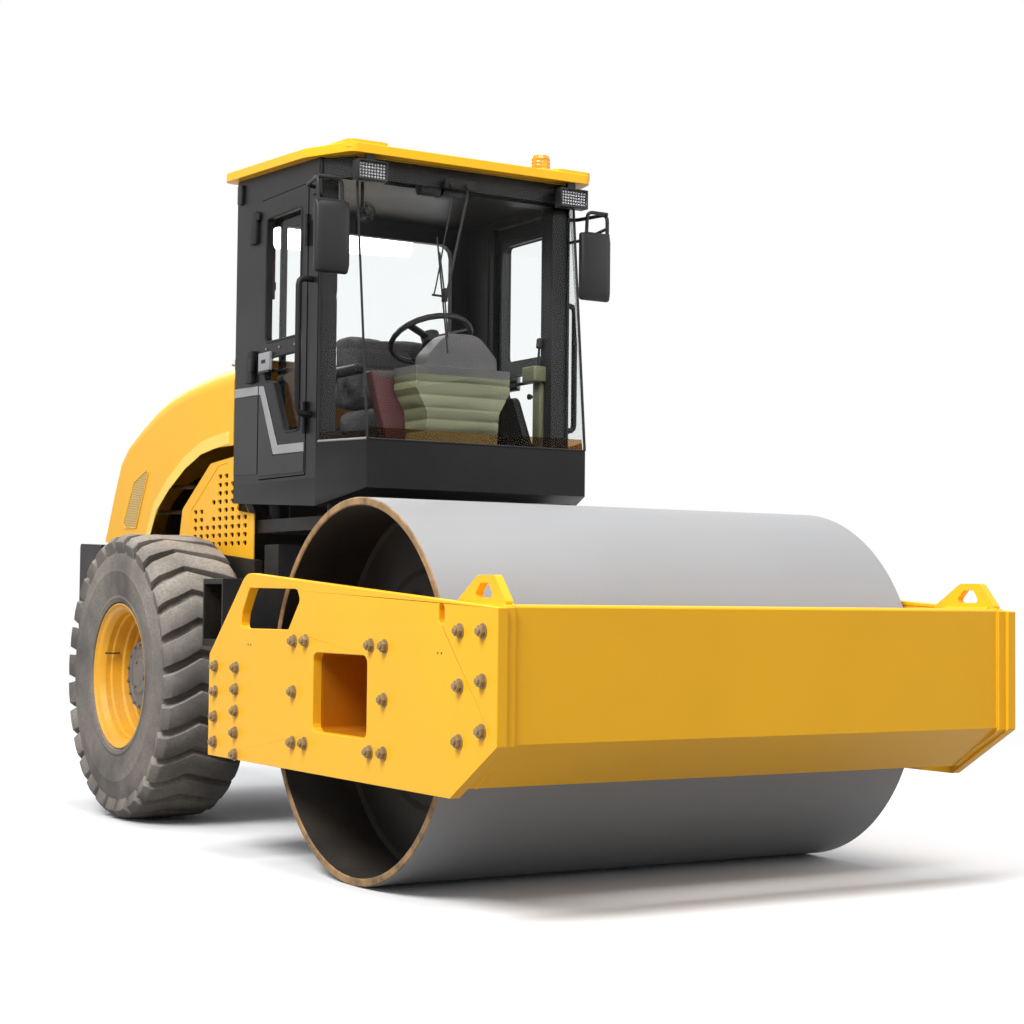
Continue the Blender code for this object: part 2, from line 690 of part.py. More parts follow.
def make_steps():
    for word, side in SIDES:
        low, high = (FRAME_HALF + GAP, 1.50, 0.84), (0.95, 1.72, 1.14)
        body = mirrored_box(f"access_step_{word}", side, low, high)
        hollow = mirrored_box(f"step_hollow_{word}", side, (low[0] + 0.03, low[1] + 0.012, 0.87),
                              (high[0] + 0.1, high[1] - 0.012, 1.115))
        cut(body, hollow)
        hang(body, "machine", "black_paint")


def frame_top(y):
    """Height of the skirts' top line."""
    for (y0, z0), (y1, z1) in zip(FRAME_TOP, FRAME_TOP[1:]):
        if y <= y1:
            return z0 + (z1 - z0) * (y - y0) / (y1 - y0)
    return FRAME_TOP[-1][1]


def make_side_panels():
    low_front, low_rear = FRAME_TOP[0], FRAME_TOP[1]
    for word, side in SIDES:
        edge = [(low_front[0], low_front[1] + GAP), (low_rear[0], low_rear[1] + GAP),
                (2.826, 1.50, 0.03), (2.475, 1.713, 0.05), (CAB_REAR + 0.06, 1.735),
                (CAB_REAR + 0.06, 1.47), (low_front[0], 1.45)]
        body = side_plate_of(f"side_panel_{word}", [edge], side, 0.598, 0.606)
        hang(body, "machine", "yellow_paint")


# ---- hood ---------------------------------------------------------------------------
# along the hood: y and z of its shoulder line, y and z of its crown, and the lower edge
HOOD_STATIONS = (
    (HOOD_FRONT, 2.078, HOOD_FRONT, 2.205),
    (2.40, 2.062, 2.41, 2.192),
    (2.70, 2.037, 2.72, 2.168),
    (2.92, 2.005, 2.95, 2.133),
    (3.12, 1.955, 3.17, 2.078),
    (3.32, 1.888, 3.40, 1.995),
    (3.50, 1.824, 3.60, 1.890),
    (3.60, 1.755, 3.715, 1.790),
    (3.70, 1.595, 3.800, 1.625),
    (3.78, 1.462, 3.860, 1.480),
    (3.84, 1.363, 3.905, 1.363),
)
# across one half of the hood: share of the half width, share of the rise to the crown
HOOD_ARCH = ((1.0, 0.0), (0.985, 0.35), (0.93, 0.68), (0.84, 0.88), (0.68, 0.965), (0.0, 1.0))


def make_hood():
    mesh = bpy.data.meshes.new("hood")
    work = bmesh.new()
    rows = []
    for edge_y, edge_z, crown_y, crown_z in HOOD_STATIONS:
        foot = frame_top(edge_y) + 0.012
        row = [work.verts.new((HOOD_HALF, edge_y, min(foot, edge_z - 0.006)))]
        row += [work.verts.new((HOOD_HALF * wide, edge_y + (crown_y - edge_y) * rise,
                                edge_z + (crown_z - edge_z) * rise)) for wide, rise in HOOD_ARCH]
        rows.append(row)
    for near, far in zip(rows, rows[1:]):
        for a, b, c, d in zip(near, near[1:], far[1:], far):
            work.faces.new((a, b, c, d))
    bmesh.ops.recalc_face_normals(work, faces=work.faces)
    work.to_mesh(mesh)
    work.free()
    body = put("hood", mesh)
    mirror = body.modifiers.new("other_half", "MIRROR")
    mirror.use_mirror_merge = True
    mirror.merge_threshold = 0.00005
    skin = body.modifiers.new("skin", "SOLIDIFY")
    skin.thickness = HOOD_SKIN
    skin.offset = -1.0
    body = freeze(body)

    # the wheel side is open below an arch that runs from the cab to the frame
    arch = [(HOOD_FRONT - 0.1, 1.780), (2.35, 1.780), (2.654, 1.750, 0.10), (2.873, 1.646, 0.12),
            (3.060, 1.523, 0.12), (3.268, 1.336 - 0.03), (3.268, 1.10), (HOOD_FRONT - 0.1, 1.10)]
    cut(body, plate("hood_arch", [arch], "YZ", -HOOD_HALF - 0.1, HOOD_HALF + 0.1))

    y, z = HOOD_HINGE
    for word, side in SIDES:
        sleeve = turned(f"hood_knuckle_{word}",
                        [(0.0106, 0.045), (0.019, 0.045), (0.019, -0.045), (0.0106, -0.045)],
                        (side * 0.35, y, z), "X", 16)
        tab = mirrored_box(f"hood_tab_{word}", side, (0.31, y - 0.062, z + 0.0115),
                           (0.39, y + 0.002, z + 0.018))
        join(body, sleeve, tab)
    hang(body, "hood_hinge", "yellow_paint")


# ---- cab ----------------------------------------------------------------------------
def roof_low(y):
    return ROOF_LOW + ROOF_RISE * (y - ROOF_FRONT)


def nose_plan(inset):
    """Front part of the cab's plan, from the right-hand pillar to the left-hand one."""
    side, half, front = CAB_HALF - inset, NOSE_HALF - inset * 0.72, NOSE_Y + inset
    rear = CAB_FRONT - GAP
    return [(-side, rear), (-half, front), (half, front), (side, rear)]


def make_platform():
    rear = CAB_REAR - GAP
    outline = nose_plan(0.0)
    plan = [*outline, (CAB_HALF, rear), (-CAB_HALF, rear)]
    floor = plate("cab_platform", [plan], "XY", FLOOR_LOW, FLOOR_TOP)
    wall = 0.035
    band = plate("nose_panel", [[*outline, *reversed(nose_plan(wall))]], "XY",
                 FLOOR_LOW - 0.05, NOSE_TOP - GAP)
    join(floor, band)
    for word, side in SIDES:
        sill = [(CAB_FRONT - GAP, 1.458), (rear, 1.500), (rear, FLOOR_TOP - 0.003),
                (CAB_FRONT - GAP, FLOOR_TOP - 0.003)]
        join(floor, side_plate_of(f"sill_{word}", [sill], side, 0.60, CAB_HALF - GAP))
        for place, y in (("front", CAB_FRONT + 0.12), ("rear", CAB_REAR - 0.14)):
            join(floor, cylinder(f"cab_mount_{word}_{place}", 0.05,
                                 (side * 0.48, y, (DECK_TOP + GAP + FLOOR_LOW + 0.02) / 2.0),
                                 FLOOR_LOW + 0.02 - DECK_TOP - GAP, "Z", 16))
    slope = (NOSE_LOW - 1.458) / (CAB_FRONT - NOSE_Y)
    under = [(CAB_FRONT, 1.458), (NOSE_Y - 0.1, NOSE_LOW + slope * 0.1), (NOSE_Y - 0.1, 1.30),
             (CAB_FRONT, 1.30)]
    cut(floor, plate("nose_under", [under], "YZ", -1.0, 1.0))
    hang(floor, "machine", "black_paint")


def make_cab_frame():
    low = FLOOR_TOP + GAP
    edge = [(CAB_FRONT, low), (CAB_REAR, low), (CAB_REAR, roof_low(CAB_REAR) - GAP),
            (CAB_FRONT, roof_low(CAB_FRONT) - GAP)]
    body = plate("cab_frame", [edge], "YZ", -CAB_HALF, CAB_HALF)
    inner = CAB_HALF - CAB_WALL
    inside = box("cab_inside", (-inner, CAB_FRONT + 0.095, low - 0.1),
                 (inner, CAB_REAR - 0.04, 2.925))
    windscreen = box("windscreen_opening", (-0.56, CAB_FRONT - 0.1, low - 0.1),
                     (0.56, CAB_FRONT + 0.2, 2.905))
    doorway = plate("doorway", [square(DOOR_FRONT - DOOR_GAP, DOOR_REAR + DOOR_GAP,
                                       DOOR_LOW - DOOR_GAP, DOOR_TOP + DOOR_GAP, 0.01)],
                    "YZ", -CAB_HALF - 0.1, CAB_HALF + 0.1)
    rear_window = plate("rear_opening", [square(-0.50, 0.50, 1.88, 2.84, 0.06)], "XZ",
                        CAB_REAR - 0.1, CAB_REAR + 0.1)
    cut(body, inside, windscreen, doorway, rear_window)
    for word, side in SIDES:
        x, y = CAB_HALF + DOOR_PROUD + HINGE_OFFSET, DOOR_FRONT - 0.008
        for hinge, z in DOOR_HINGES:
            for level, shift in (("low", -0.0705), ("top", 0.0305)):
                knuckle = cylinder(f"frame_knuckle_{word}_{hinge}_{level}", HINGE_RADIUS,
                                   (side * x, y, z + shift + 0.02), 0.04, "Z", 12)
                leaf = mirrored_box(f"frame_leaf_{word}_{hinge}_{level}", side,
                                    (CAB_HALF - 0.01, y - 0.006, z + shift),
                                    (x, y, z + shift + 0.04))
                join(body, leaf, knuckle)
    hang(body, "machine", "black_paint")


def make_roof():
    tilt = math.atan(ROOF_RISE)
    length = (ROOF_REAR - ROOF_FRONT) / math.cos(tilt)
    plan = [(-ROOF_HALF_FRONT, 0, 0.04), (ROOF_HALF_FRONT, 0, 0.04), (ROOF_HALF, 0.30, 0.2),
            (ROOF_HALF, length, 0.05), (-ROOF_HALF, length, 0.05), (-ROOF_HALF, 0.30, 0.2)]
    body = plate("cab_roof", [plan], "XY", 0.0, ROOF_THICK)
    body = soften(body, 0.012, 2)
    body = freeze(body)
    for word, side in SIDES:
        inner, outer = 0.43, ROOF_HALF_FRONT + 0.012
        low, high = sorted((side * inner, side * outer))
        crown = plate(f"roof_crown_{word}",
                      [[(low, 0.006, 0.03), (high, 0.006, 0.03), (high, 0.42, 0.03),
                        (low, 0.42, 0.03)]], "XY", ROOF_THICK / 2.0, ROOF_THICK + ROOF_CROWN)
        join(body, crown)
    for piece in [body] + [change.object for change in body.modifiers]:
        spin = Matrix.Translation((0, ROOF_FRONT, ROOF_LOW)) @ Matrix.Rotation(tilt, 4, "X")
        piece.matrix_world = spin @ piece.matrix_world
    hang(body, "machine", "yellow_paint")


def make_glass():
    rear_edge = CAB_FRONT - GAP - GLASS * 0.35
    low = [(-CAB_HALF, rear_edge), *nose_plan(0.0)[1:3], (CAB_HALF, rear_edge)]
    top = [(-CAB_HALF, rear_edge), (-NOSE_HALF - 0.008, GLASS_TOP_Y),
           (NOSE_HALF + 0.008, GLASS_TOP_Y), (CAB_HALF, rear_edge)]
    mesh = bpy.data.meshes.new("windscreen")
    work = bmesh.new()
    sag = GLASS * (GLASS_TOP_Y - NOSE_Y) / (ROOF_LOW - NOSE_TOP)
    bottom_row = [work.verts.new((x * 0.995, y, NOSE_TOP + sag)) for x, y in low]
    top_row = [work.verts.new((x * 0.995, y, roof_low(y) - GAP)) for x, y in top]
    for a, b, c, d in zip(bottom_row, bottom_row[1:], top_row[1:], top_row):
        work.faces.new((a, b, c, d))
    work.to_mesh(mesh)
    work.free()
    pane = put("windscreen", mesh)
    skin = pane.modifiers.new("thickness", "SOLIDIFY")
    skin.thickness = GLASS
    skin.offset = -1.0
    skin.use_even_offset = True
    pane = freeze(pane)
    hang(pane, "machine", "cab_glass")

    rear = plate("rear_glass", [square(-0.53, 0.53, 1.85, 2.87, 0.06)], "XZ",
                 CAB_REAR + GAP, CAB_REAR + GAP + GLASS)
    hang(rear, "machine", "cab_glass")


def make_doors():
    outer = CAB_HALF + DOOR_PROUD
    inner = outer - DOOR_THICK
    edge = square(DOOR_FRONT, DOOR_REAR, DOOR_LOW, DOOR_TOP, 0.01)
    upper = square(1.365, 1.735, 2.225, 2.80, 0.03)
    lower = [(1.365, 1.80, 0.03), (1.520, 1.80, 0.03), (1.650, 2.045, 0.04), (1.735, 2.045, 0.03),
             (1.735, 2.155, 0.03), (1.365, 2.155, 0.03)]
    for word, side in SIDES:
        door = side_plate_of(f"door_{word}", [edge, upper, lower], side, inner, outer)
        x, y = outer + HINGE_OFFSET, DOOR_FRONT - 0.008
        for hinge, z in DOOR_HINGES:
            knuckle = cylinder(f"door_knuckle_{word}_{hinge}", HINGE_RADIUS,
                               (side * x, y, z), 0.06, "Z", 12)
            leaf = mirrored_box(f"door_leaf_{word}_{hinge}", side,
                                (CAB_HALF + PIN_PLAY, y, z - 0.03), (x, y + 0.03, z + 0.03))
            join(door, leaf, knuckle)
        handle = mirrored_box(f"door_handle_{word}", side, (outer - 0.004, 1.66, 2.085),
                              (outer + 0.018, 1.775, 2.135))
        join(door, handle)
        hang(door, f"door_hinge_{word}", "black_paint")
        pane = side_plate_of(f"door_glass_{word}", [square(1.345, 1.755, 1.78, 2.82, 0.02)],
                             side, inner - GAP - GLASS, inner - GAP)
        hang(pane, f"door_hinge_{word}", "cab_glass")


def make_seat():
    x = OPERATOR_X
    half = SEAT_WIDTH / 2.0
    base = box("seat_base", (x - 0.17, 1.60, FLOOR_TOP + GAP), (x + 0.17, 1.92, 1.80))
    join(base, box("seat_pan", (x - 0.21, 1.56, 1.79), (x + 0.21, 1.95, 1.82)))
    hang(base, "machine", "black_plastic")
    cushion = soften(box("seat_cushion", (x - half, 1.46, 1.82 + GAP), (x + half, 1.94, 1.95)),
                     0.035, 2)
    hang(cushion, "machine", "seat_fabric")
    lean = math.radians(10.0)
    tall, deep, edge = 0.185, 0.06, 0.035
    back = box("seat_back", (x - half, -deep, -tall), (x + half, deep, tall))
    back = freeze(soften(back, edge, 2))
    back.rotation_euler = Euler((-lean, 0, 0))
    reach = (tall - edge) * math.cos(lean) + (deep - edge) * math.sin(lean) + edge
    back.location = (x, 1.905, 1.95 + GAP + reach)
    hang(back, "machine", "seat_fabric")


def make_console():
    x = OPERATOR_X
    low = FLOOR_TOP + GAP
    half = [(0.165, low), (0.19, 1.90), (0.245, 2.00), (0.245, 2.10)]
    edge = [(x + a, z) for a, z in half] + [(x - a, z) for a, z in reversed(half)]
    body = plate("console", [edge], "XZ", 1.12, 1.33)
    dome = plate("console_dome",
                 [[(x - 0.18, 2.08), (x + 0.18, 2.08), (x + 0.18, 2.15, 0.05),
                   (x + 0.08, 2.255, 0.10), (x - 0.08, 2.255, 0.10), (x - 0.18, 2.15, 0.05)]],
                 "XZ", 1.13, 1.25)
    join(body, dome)
    hang(body, "machine", "olive_plastic")

    tilt = math.radians(-28.0)
    hub = Vector((x, 1.43, 2.265))
    lean = Matrix.Rotation(tilt, 4, "X")
    wheel = turned("steering_wheel",
                   [(0.19 + 0.014 * math.cos(t), 0.014 * math.sin(t))
                    for t in (math.tau * i / 6 for i in range(6))], (0, 0, 0), "Z", 24)
    wheel.matrix_world = Matrix.Translation(hub) @ lean
    for word, turn in (("a", 90.0), ("b", 210.0), ("c", 330.0)):
        spoke = box(f"spoke_{word}", (0.0, -0.016, -0.006), (0.19, 0.016, 0.006))
        spoke.matrix_world = (Matrix.Translation(hub) @ lean @ Matrix.Rotation(math.radians(turn), 4, "Z")
                              @ Matrix.Translation((0.095, 0, 0)))
        join(wheel, spoke)
    boss = cylinder("wheel_boss", 0.045, (0, 0, 0), 0.05, "Z", 16)
    boss.matrix_world = Matrix.Translation(hub) @ lean
    foot = Vector((x, 1.295, 2.12))
    column = rod_along("column", [foot, hub], 0.022, 2)
    seat = cylinder("column_foot", 0.032, (x, 1.295, 2.10 + GAP + 0.02), 0.04, "Z", 16)
    join(wheel, boss, column, seat)
    hang(wheel, "machine", "black_plastic")


def make_outside_fittings():
    face = CAB_HALF + 0.0006
    for word, side in SIDES:
        rail_x = 0.724
        run = bend([(side * face, 1.25, 1.86), (side * rail_x, 1.25, 1.86),
                    (side * rail_x, 1.25, 2.455), (side * face, 1.25, 2.455)], 0.03)
        hang(rod_along(f"grab_rail_{word}", run, 0.014, 2), "machine", "black_paint")

        run = bend([(side * face, 1.23, 2.86), (side * 0.705, 1.23, 2.86),
                    (side * 0.705, 1.02, 2.86), (side * 0.680, 1.02, 2.62)], 0.03)
        arm = rod_along(f"mirror_{word}", run, 0.010, 2)
        shell = mirrored_box(f"mirror_shell_{word}", side, (0.598, 0.995, 2.45),
                             (0.762, 1.040, 2.765))
        shell = freeze(soften(shell, 0.018, 2))
        join(arm, shell)
        hang(arm, "machine", "black_plastic")

        lamp = mirrored_box(f"work_lamp_{word}", side, (0.446, 0.950, 2.857),
                            (0.594, 1.005, 2.945))
        stem = mirrored_box(f"lamp_stem_{word}", side, (0.500, 0.975, 2.94),
                            (0.540, 0.998, roof_low(0.975) - GAP))
        join(lamp, stem)
        hang(lamp, "machine", "lamp_lens")

    y = 1.17
    foot = 0.055
    slant = math.sqrt(1.0 + ROOF_RISE ** 2)
    base = roof_low(y) + (ROOF_THICK + ROOF_CROWN) * slant + ROOF_RISE * foot + GAP
    beacon = turned("beacon", [(0.0, 0.085), (0.036, 0.085), (0.046, 0.075), (0.050, 0.02),
                               (foot, 0.018), (foot, 0.0), (0.0, 0.0)],
                    (0.47, y, base), "Z", 20, loop=False)
    hang(beacon, "machine", "amber_lens")


make_drum()
make_side_plates()
make_carriers()
make_front_beam()
make_rear_beam()
make_chassis()
make_counterweight()
make_axle()
make_wheels()
make_engine()
make_cylinders()
make_steps()
make_side_panels()
make_hood()
make_platform()
make_cab_frame()
make_roof()
make_glass()
make_doors()
make_seat()
make_console()
make_outside_fittings()
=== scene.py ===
import json
import math
import random

import bpy
from mathutils import Matrix, Vector


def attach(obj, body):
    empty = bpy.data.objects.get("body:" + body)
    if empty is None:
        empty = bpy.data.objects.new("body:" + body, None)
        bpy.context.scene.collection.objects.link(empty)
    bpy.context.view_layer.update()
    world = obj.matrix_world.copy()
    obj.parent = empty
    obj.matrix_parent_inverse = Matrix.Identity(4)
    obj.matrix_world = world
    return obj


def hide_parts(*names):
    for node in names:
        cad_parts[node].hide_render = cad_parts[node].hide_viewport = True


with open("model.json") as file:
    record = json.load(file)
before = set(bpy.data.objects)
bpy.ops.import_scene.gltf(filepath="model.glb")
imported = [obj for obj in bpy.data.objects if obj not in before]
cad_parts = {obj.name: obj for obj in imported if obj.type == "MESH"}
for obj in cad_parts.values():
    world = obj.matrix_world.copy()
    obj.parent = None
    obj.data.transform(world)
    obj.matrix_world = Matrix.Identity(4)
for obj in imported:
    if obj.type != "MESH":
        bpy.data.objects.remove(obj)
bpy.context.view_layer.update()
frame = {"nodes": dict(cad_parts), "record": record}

nodes = frame["nodes"]
bodyOf = {n: b for b, group in frame["record"]["behaviour"]["bodies"].items() for n in group}
random.seed(11)
sides = (("Right", -1.0), ("Left", 1.0))
mergeReach = 0.00002
drumY, drumZ = -1.546, 0.717
wheelCentre = (0.8675, 0.918, 0.679)
print("frame loaded:", len(nodes), "nodes")


# ---------- small helpers ----------
def linear(red, green, blue):
    # 0-255 display values to a linear colour
    out = []
    for c in (red, green, blue):
        c = c / 255.0
        out.append(c / 12.92 if c <= 0.04045 else ((c + 0.055) / 1.055) ** 2.4)
    return (*out, 1.0)


def clearSelection():
    if bpy.context.object and bpy.context.object.mode != "OBJECT":
        bpy.ops.object.mode_set(mode="OBJECT")
    bpy.ops.object.select_all(action="DESELECT")


def only(piece):
    clearSelection()
    piece.select_set(True)
    bpy.context.view_layer.objects.active = piece
    return piece


def editStart(piece, mode="FACE", pick=False):
    only(piece)
    bpy.ops.object.mode_set(mode="EDIT")
    bpy.ops.mesh.select_mode(type=mode)
    bpy.ops.mesh.select_all(action="SELECT" if pick else "DESELECT")


def editEnd():
    bpy.ops.object.mode_set(mode="OBJECT")


def settle(piece):
    # the place goes into the mesh, the object stays at the origin
    only(piece)
    bpy.ops.object.transform_apply(location=True, rotation=True, scale=True)
    return piece


def applyAll(piece):
    only(piece)
    for change in list(piece.modifiers):
        bpy.ops.object.modifier_apply(modifier=change.name)
    return piece


def outward(piece):
    editStart(piece, pick=True)
    bpy.ops.mesh.remove_doubles(threshold=mergeReach)
    bpy.ops.mesh.normals_make_consistent(inside=False)
    editEnd()
    return piece


def rounded(piece, width, segments=2, angle=32.0, smooth=32.0):
    if width > 0:
        edge = piece.modifiers.new("edge", "BEVEL")
        edge.width = width
        edge.segments = segments
        edge.limit_method = "ANGLE"
        edge.angle_limit = math.radians(angle)
        edge.miter_outer = "MITER_ARC"
        applyAll(piece)
    only(piece)
    bpy.ops.object.shade_smooth_by_angle(angle=math.radians(smooth))
    return piece


# the record's slot that each finish is for
slotTable = {
    "amber_lens": "amberFoot amberLens",
    "black_paint": "blackPaint frameBlack greyPanel",
    "black_plastic": "blackPlastic dashGrey greySeal maroonBox sealRubber",
    "cab_glass": "cabGlass tintStrip",
    "chrome_rod": "chromeRod silverTrim",
    "dark_steel": "boltSteel darkSteel drumInside hubSteel",
    "drum_steel": "drumSteel",
    "lamp_lens": "lampCell lampLens lampWhite",
    "olive_plastic": "olivePlastic",
    "seat_fabric": "seatCloth",
    "tyre_rubber": "tyreRubber",
    "yellow_paint": "ventMesh yellowPaint yellowPale yellowRim yellowShade",
}
slotOf = {name: slot for slot, names in slotTable.items() for name in names.split()}


def dress(piece, finish, body="rear_frame", standsFor=(), slot=None):
    piece.data.materials.clear()
    piece.data.materials.append(finishes[finish])
    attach(piece, body)
    slot = slot or slotOf[finish]
    if standsFor:
        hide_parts(*standsFor)
    return piece


# ---------- finishes ----------
def newGroup(name, inputs, outputs):
    tree = bpy.data.node_groups.new(name, "ShaderNodeTree")
    for label, kind, value in inputs:
        socket = tree.interface.new_socket(label, in_out="INPUT", socket_type="NodeSocket" + kind)
        socket.default_value = value
    for label, kind in outputs:
        tree.interface.new_socket(label, in_out="OUTPUT", socket_type="NodeSocket" + kind)
    return tree, tree.nodes.new("NodeGroupInput"), tree.nodes.new("NodeGroupOutput")


def addNode(tree, kind, **values):
    node = tree.nodes.new("ShaderNode" + kind)
    for key, value in values.items():
        setattr(node, key, value)
    return node


def mathNode(tree, operation, first, second=None, clamp=False):
    node = addNode(tree, "Math", operation=operation, use_clamp=clamp)
    for index, value in enumerate((first, second)):
        if value is None:
            continue
        if isinstance(value, (int, float)):
            node.inputs[index].default_value = value
        else:
            tree.links.new(value, node.inputs[index])
    return node.outputs[0]


def mixColour(tree, share, first, second):
    node = addNode(tree, "Mix", data_type="RGBA")
    for socket, value in ((node.inputs[0], share), (node.inputs[6], first), (node.inputs[7], second)):
        if hasattr(value, "is_linked"):
            tree.links.new(value, socket)
        else:
            socket.default_value = value
    return node.outputs[2]


def noiseOf(tree, place, scale, detail=5.0, rough=0.55):
    node = addNode(tree, "TexNoise")
    node.inputs["Detail"].default_value = detail
    node.inputs["Roughness"].default_value = rough
    tree.links.new(place, node.inputs["Vector"])
    if isinstance(scale, (int, float)):
        node.inputs["Scale"].default_value = scale
    else:
        tree.links.new(scale, node.inputs["Scale"])
    return node.outputs["Fac"]


def spread(tree, value, low, high):
    node = addNode(tree, "MapRange")
    tree.links.new(value, node.inputs["Value"])
    node.inputs["From Min"].default_value = low
    node.inputs["From Max"].default_value = high
    return node.outputs["Result"]


def makeDustGroup():
    # dust that lies in patches, and more on what faces up
    tree, into, out = newGroup("dustFilm", (
        ("Colour", "Color", (0.5, 0.5, 0.5, 1)), ("Dust", "Color", (0.4, 0.35, 0.28, 1)),
        ("Amount", "Float", 0.3), ("Patches", "Float", 3.0), ("Upward", "Float", 0.3)),
        (("Colour", "Color"), ("Mask", "Float")))
    place = addNode(tree, "TexCoord")
    patches = spread(tree, noiseOf(tree, place.outputs["Object"], into.outputs["Patches"]), 0.38, 0.72)
    fine = spread(tree, noiseOf(tree, place.outputs["Object"], 90.0, 3.0), 0.3, 0.7)
    split = addNode(tree, "SeparateXYZ")
    tree.links.new(place.outputs["Normal"], split.inputs[0])
    up = mathNode(tree, "MULTIPLY", mathNode(tree, "MAXIMUM", split.outputs[2], 0.0),
                  into.outputs["Upward"])
    lying = mathNode(tree, "ADD", patches, up)
    speckled = mathNode(tree, "MULTIPLY", lying,
                        mathNode(tree, "ADD", mathNode(tree, "MULTIPLY", fine, 0.5), 0.5))
    mask = mathNode(tree, "MULTIPLY", speckled, into.outputs["Amount"], clamp=True)
    tree.links.new(mixColour(tree, mask, into.outputs["Colour"], into.outputs["Dust"]),
                   out.inputs["Colour"])
    tree.links.new(mask, out.inputs["Mask"])
    return tree


def makeWearGroup():
    # paint rubbed thin where two faces meet
    tree, into, out = newGroup("edgeWear", (
        ("Colour", "Color", (0.5, 0.5, 0.5, 1)), ("Under", "Color", (0.2, 0.2, 0.2, 1)),
        ("Amount", "Float", 0.5), ("Width", "Float", 0.004)),
        (("Colour", "Color"), ("Mask", "Float")))
    place = addNode(tree, "TexCoord")
    soft = addNode(tree, "Bevel", samples=4)
    tree.links.new(into.outputs["Width"], soft.inputs["Radius"])
    flat = addNode(tree, "NewGeometry")
    dot = addNode(tree, "VectorMath", operation="DOT_PRODUCT")
    tree.links.new(soft.outputs["Normal"], dot.inputs[0])
    tree.links.new(flat.outputs["Normal"], dot.inputs[1])
    edge = spread(tree, mathNode(tree, "SUBTRACT", 1.0, dot.outputs["Value"]), 0.02, 0.2)
    chips = spread(tree, noiseOf(tree, place.outputs["Object"], 34.0, 6.0, 0.65), 0.42, 0.62)
    mask = mathNode(tree, "MULTIPLY", mathNode(tree, "MULTIPLY", edge, chips), into.outputs["Amount"],
                    clamp=True)
    tree.links.new(mixColour(tree, mask, into.outputs["Colour"], into.outputs["Under"]),
                   out.inputs["Colour"])
    tree.links.new(mask, out.inputs["Mask"])
    return tree


def makeGrainGroup():
    # slow changes of tone and sheen, with a fine grain for the bump
    tree, into, out = newGroup("surfaceGrain", (
        ("Colour", "Color", (0.5, 0.5, 0.5, 1)), ("Tone", "Float", 0.1), ("Sheen", "Float", 0.4),
        ("Sheen Change", "Float", 0.1), ("Grain", "Float", 60.0)),
        (("Colour", "Color"), ("Roughness", "Float"), ("Height", "Float")))
    place = addNode(tree, "TexCoord")
    slow = noiseOf(tree, place.outputs["Object"], 2.3, 4.0)
    fine = noiseOf(tree, place.outputs["Object"], into.outputs["Grain"], 3.0)
    both = mathNode(tree, "ADD", mathNode(tree, "MULTIPLY", slow, 0.7),
                    mathNode(tree, "MULTIPLY", fine, 0.3))
    centred = mathNode(tree, "SUBTRACT", both, 0.5)
    gain = mathNode(tree, "ADD",
                    mathNode(tree, "MULTIPLY", centred,
                             mathNode(tree, "MULTIPLY", into.outputs["Tone"], 4.0)), 1.0)
    scaled = addNode(tree, "VectorMath", operation="SCALE")
    tree.links.new(into.outputs["Colour"], scaled.inputs[0])
    tree.links.new(gain, scaled.inputs["Scale"])
    tree.links.new(scaled.outputs[0], out.inputs["Colour"])
    rough = mathNode(tree, "ADD", into.outputs["Sheen"],
                     mathNode(tree, "MULTIPLY", centred,
                              mathNode(tree, "MULTIPLY", into.outputs["Sheen Change"], 4.0)), clamp=True)
    tree.links.new(rough, out.inputs["Roughness"])
    tree.links.new(fine, out.inputs["Height"])
    return tree


dustGroup, wearGroup, grainGroup = makeDustGroup(), makeWearGroup(), makeGrainGroup()


def placeGroup(tree, group, **values):
    node = addNode(tree, "Group", node_tree=group)
    for key, value in values.items():
        label = key[0].upper() + key[1:]
        label = "Sheen Change" if key == "sheenChange" else label
        if hasattr(value, "is_linked"):
            tree.links.new(value, node.inputs[label])
        else:
            node.inputs[label].default_value = value
    return node


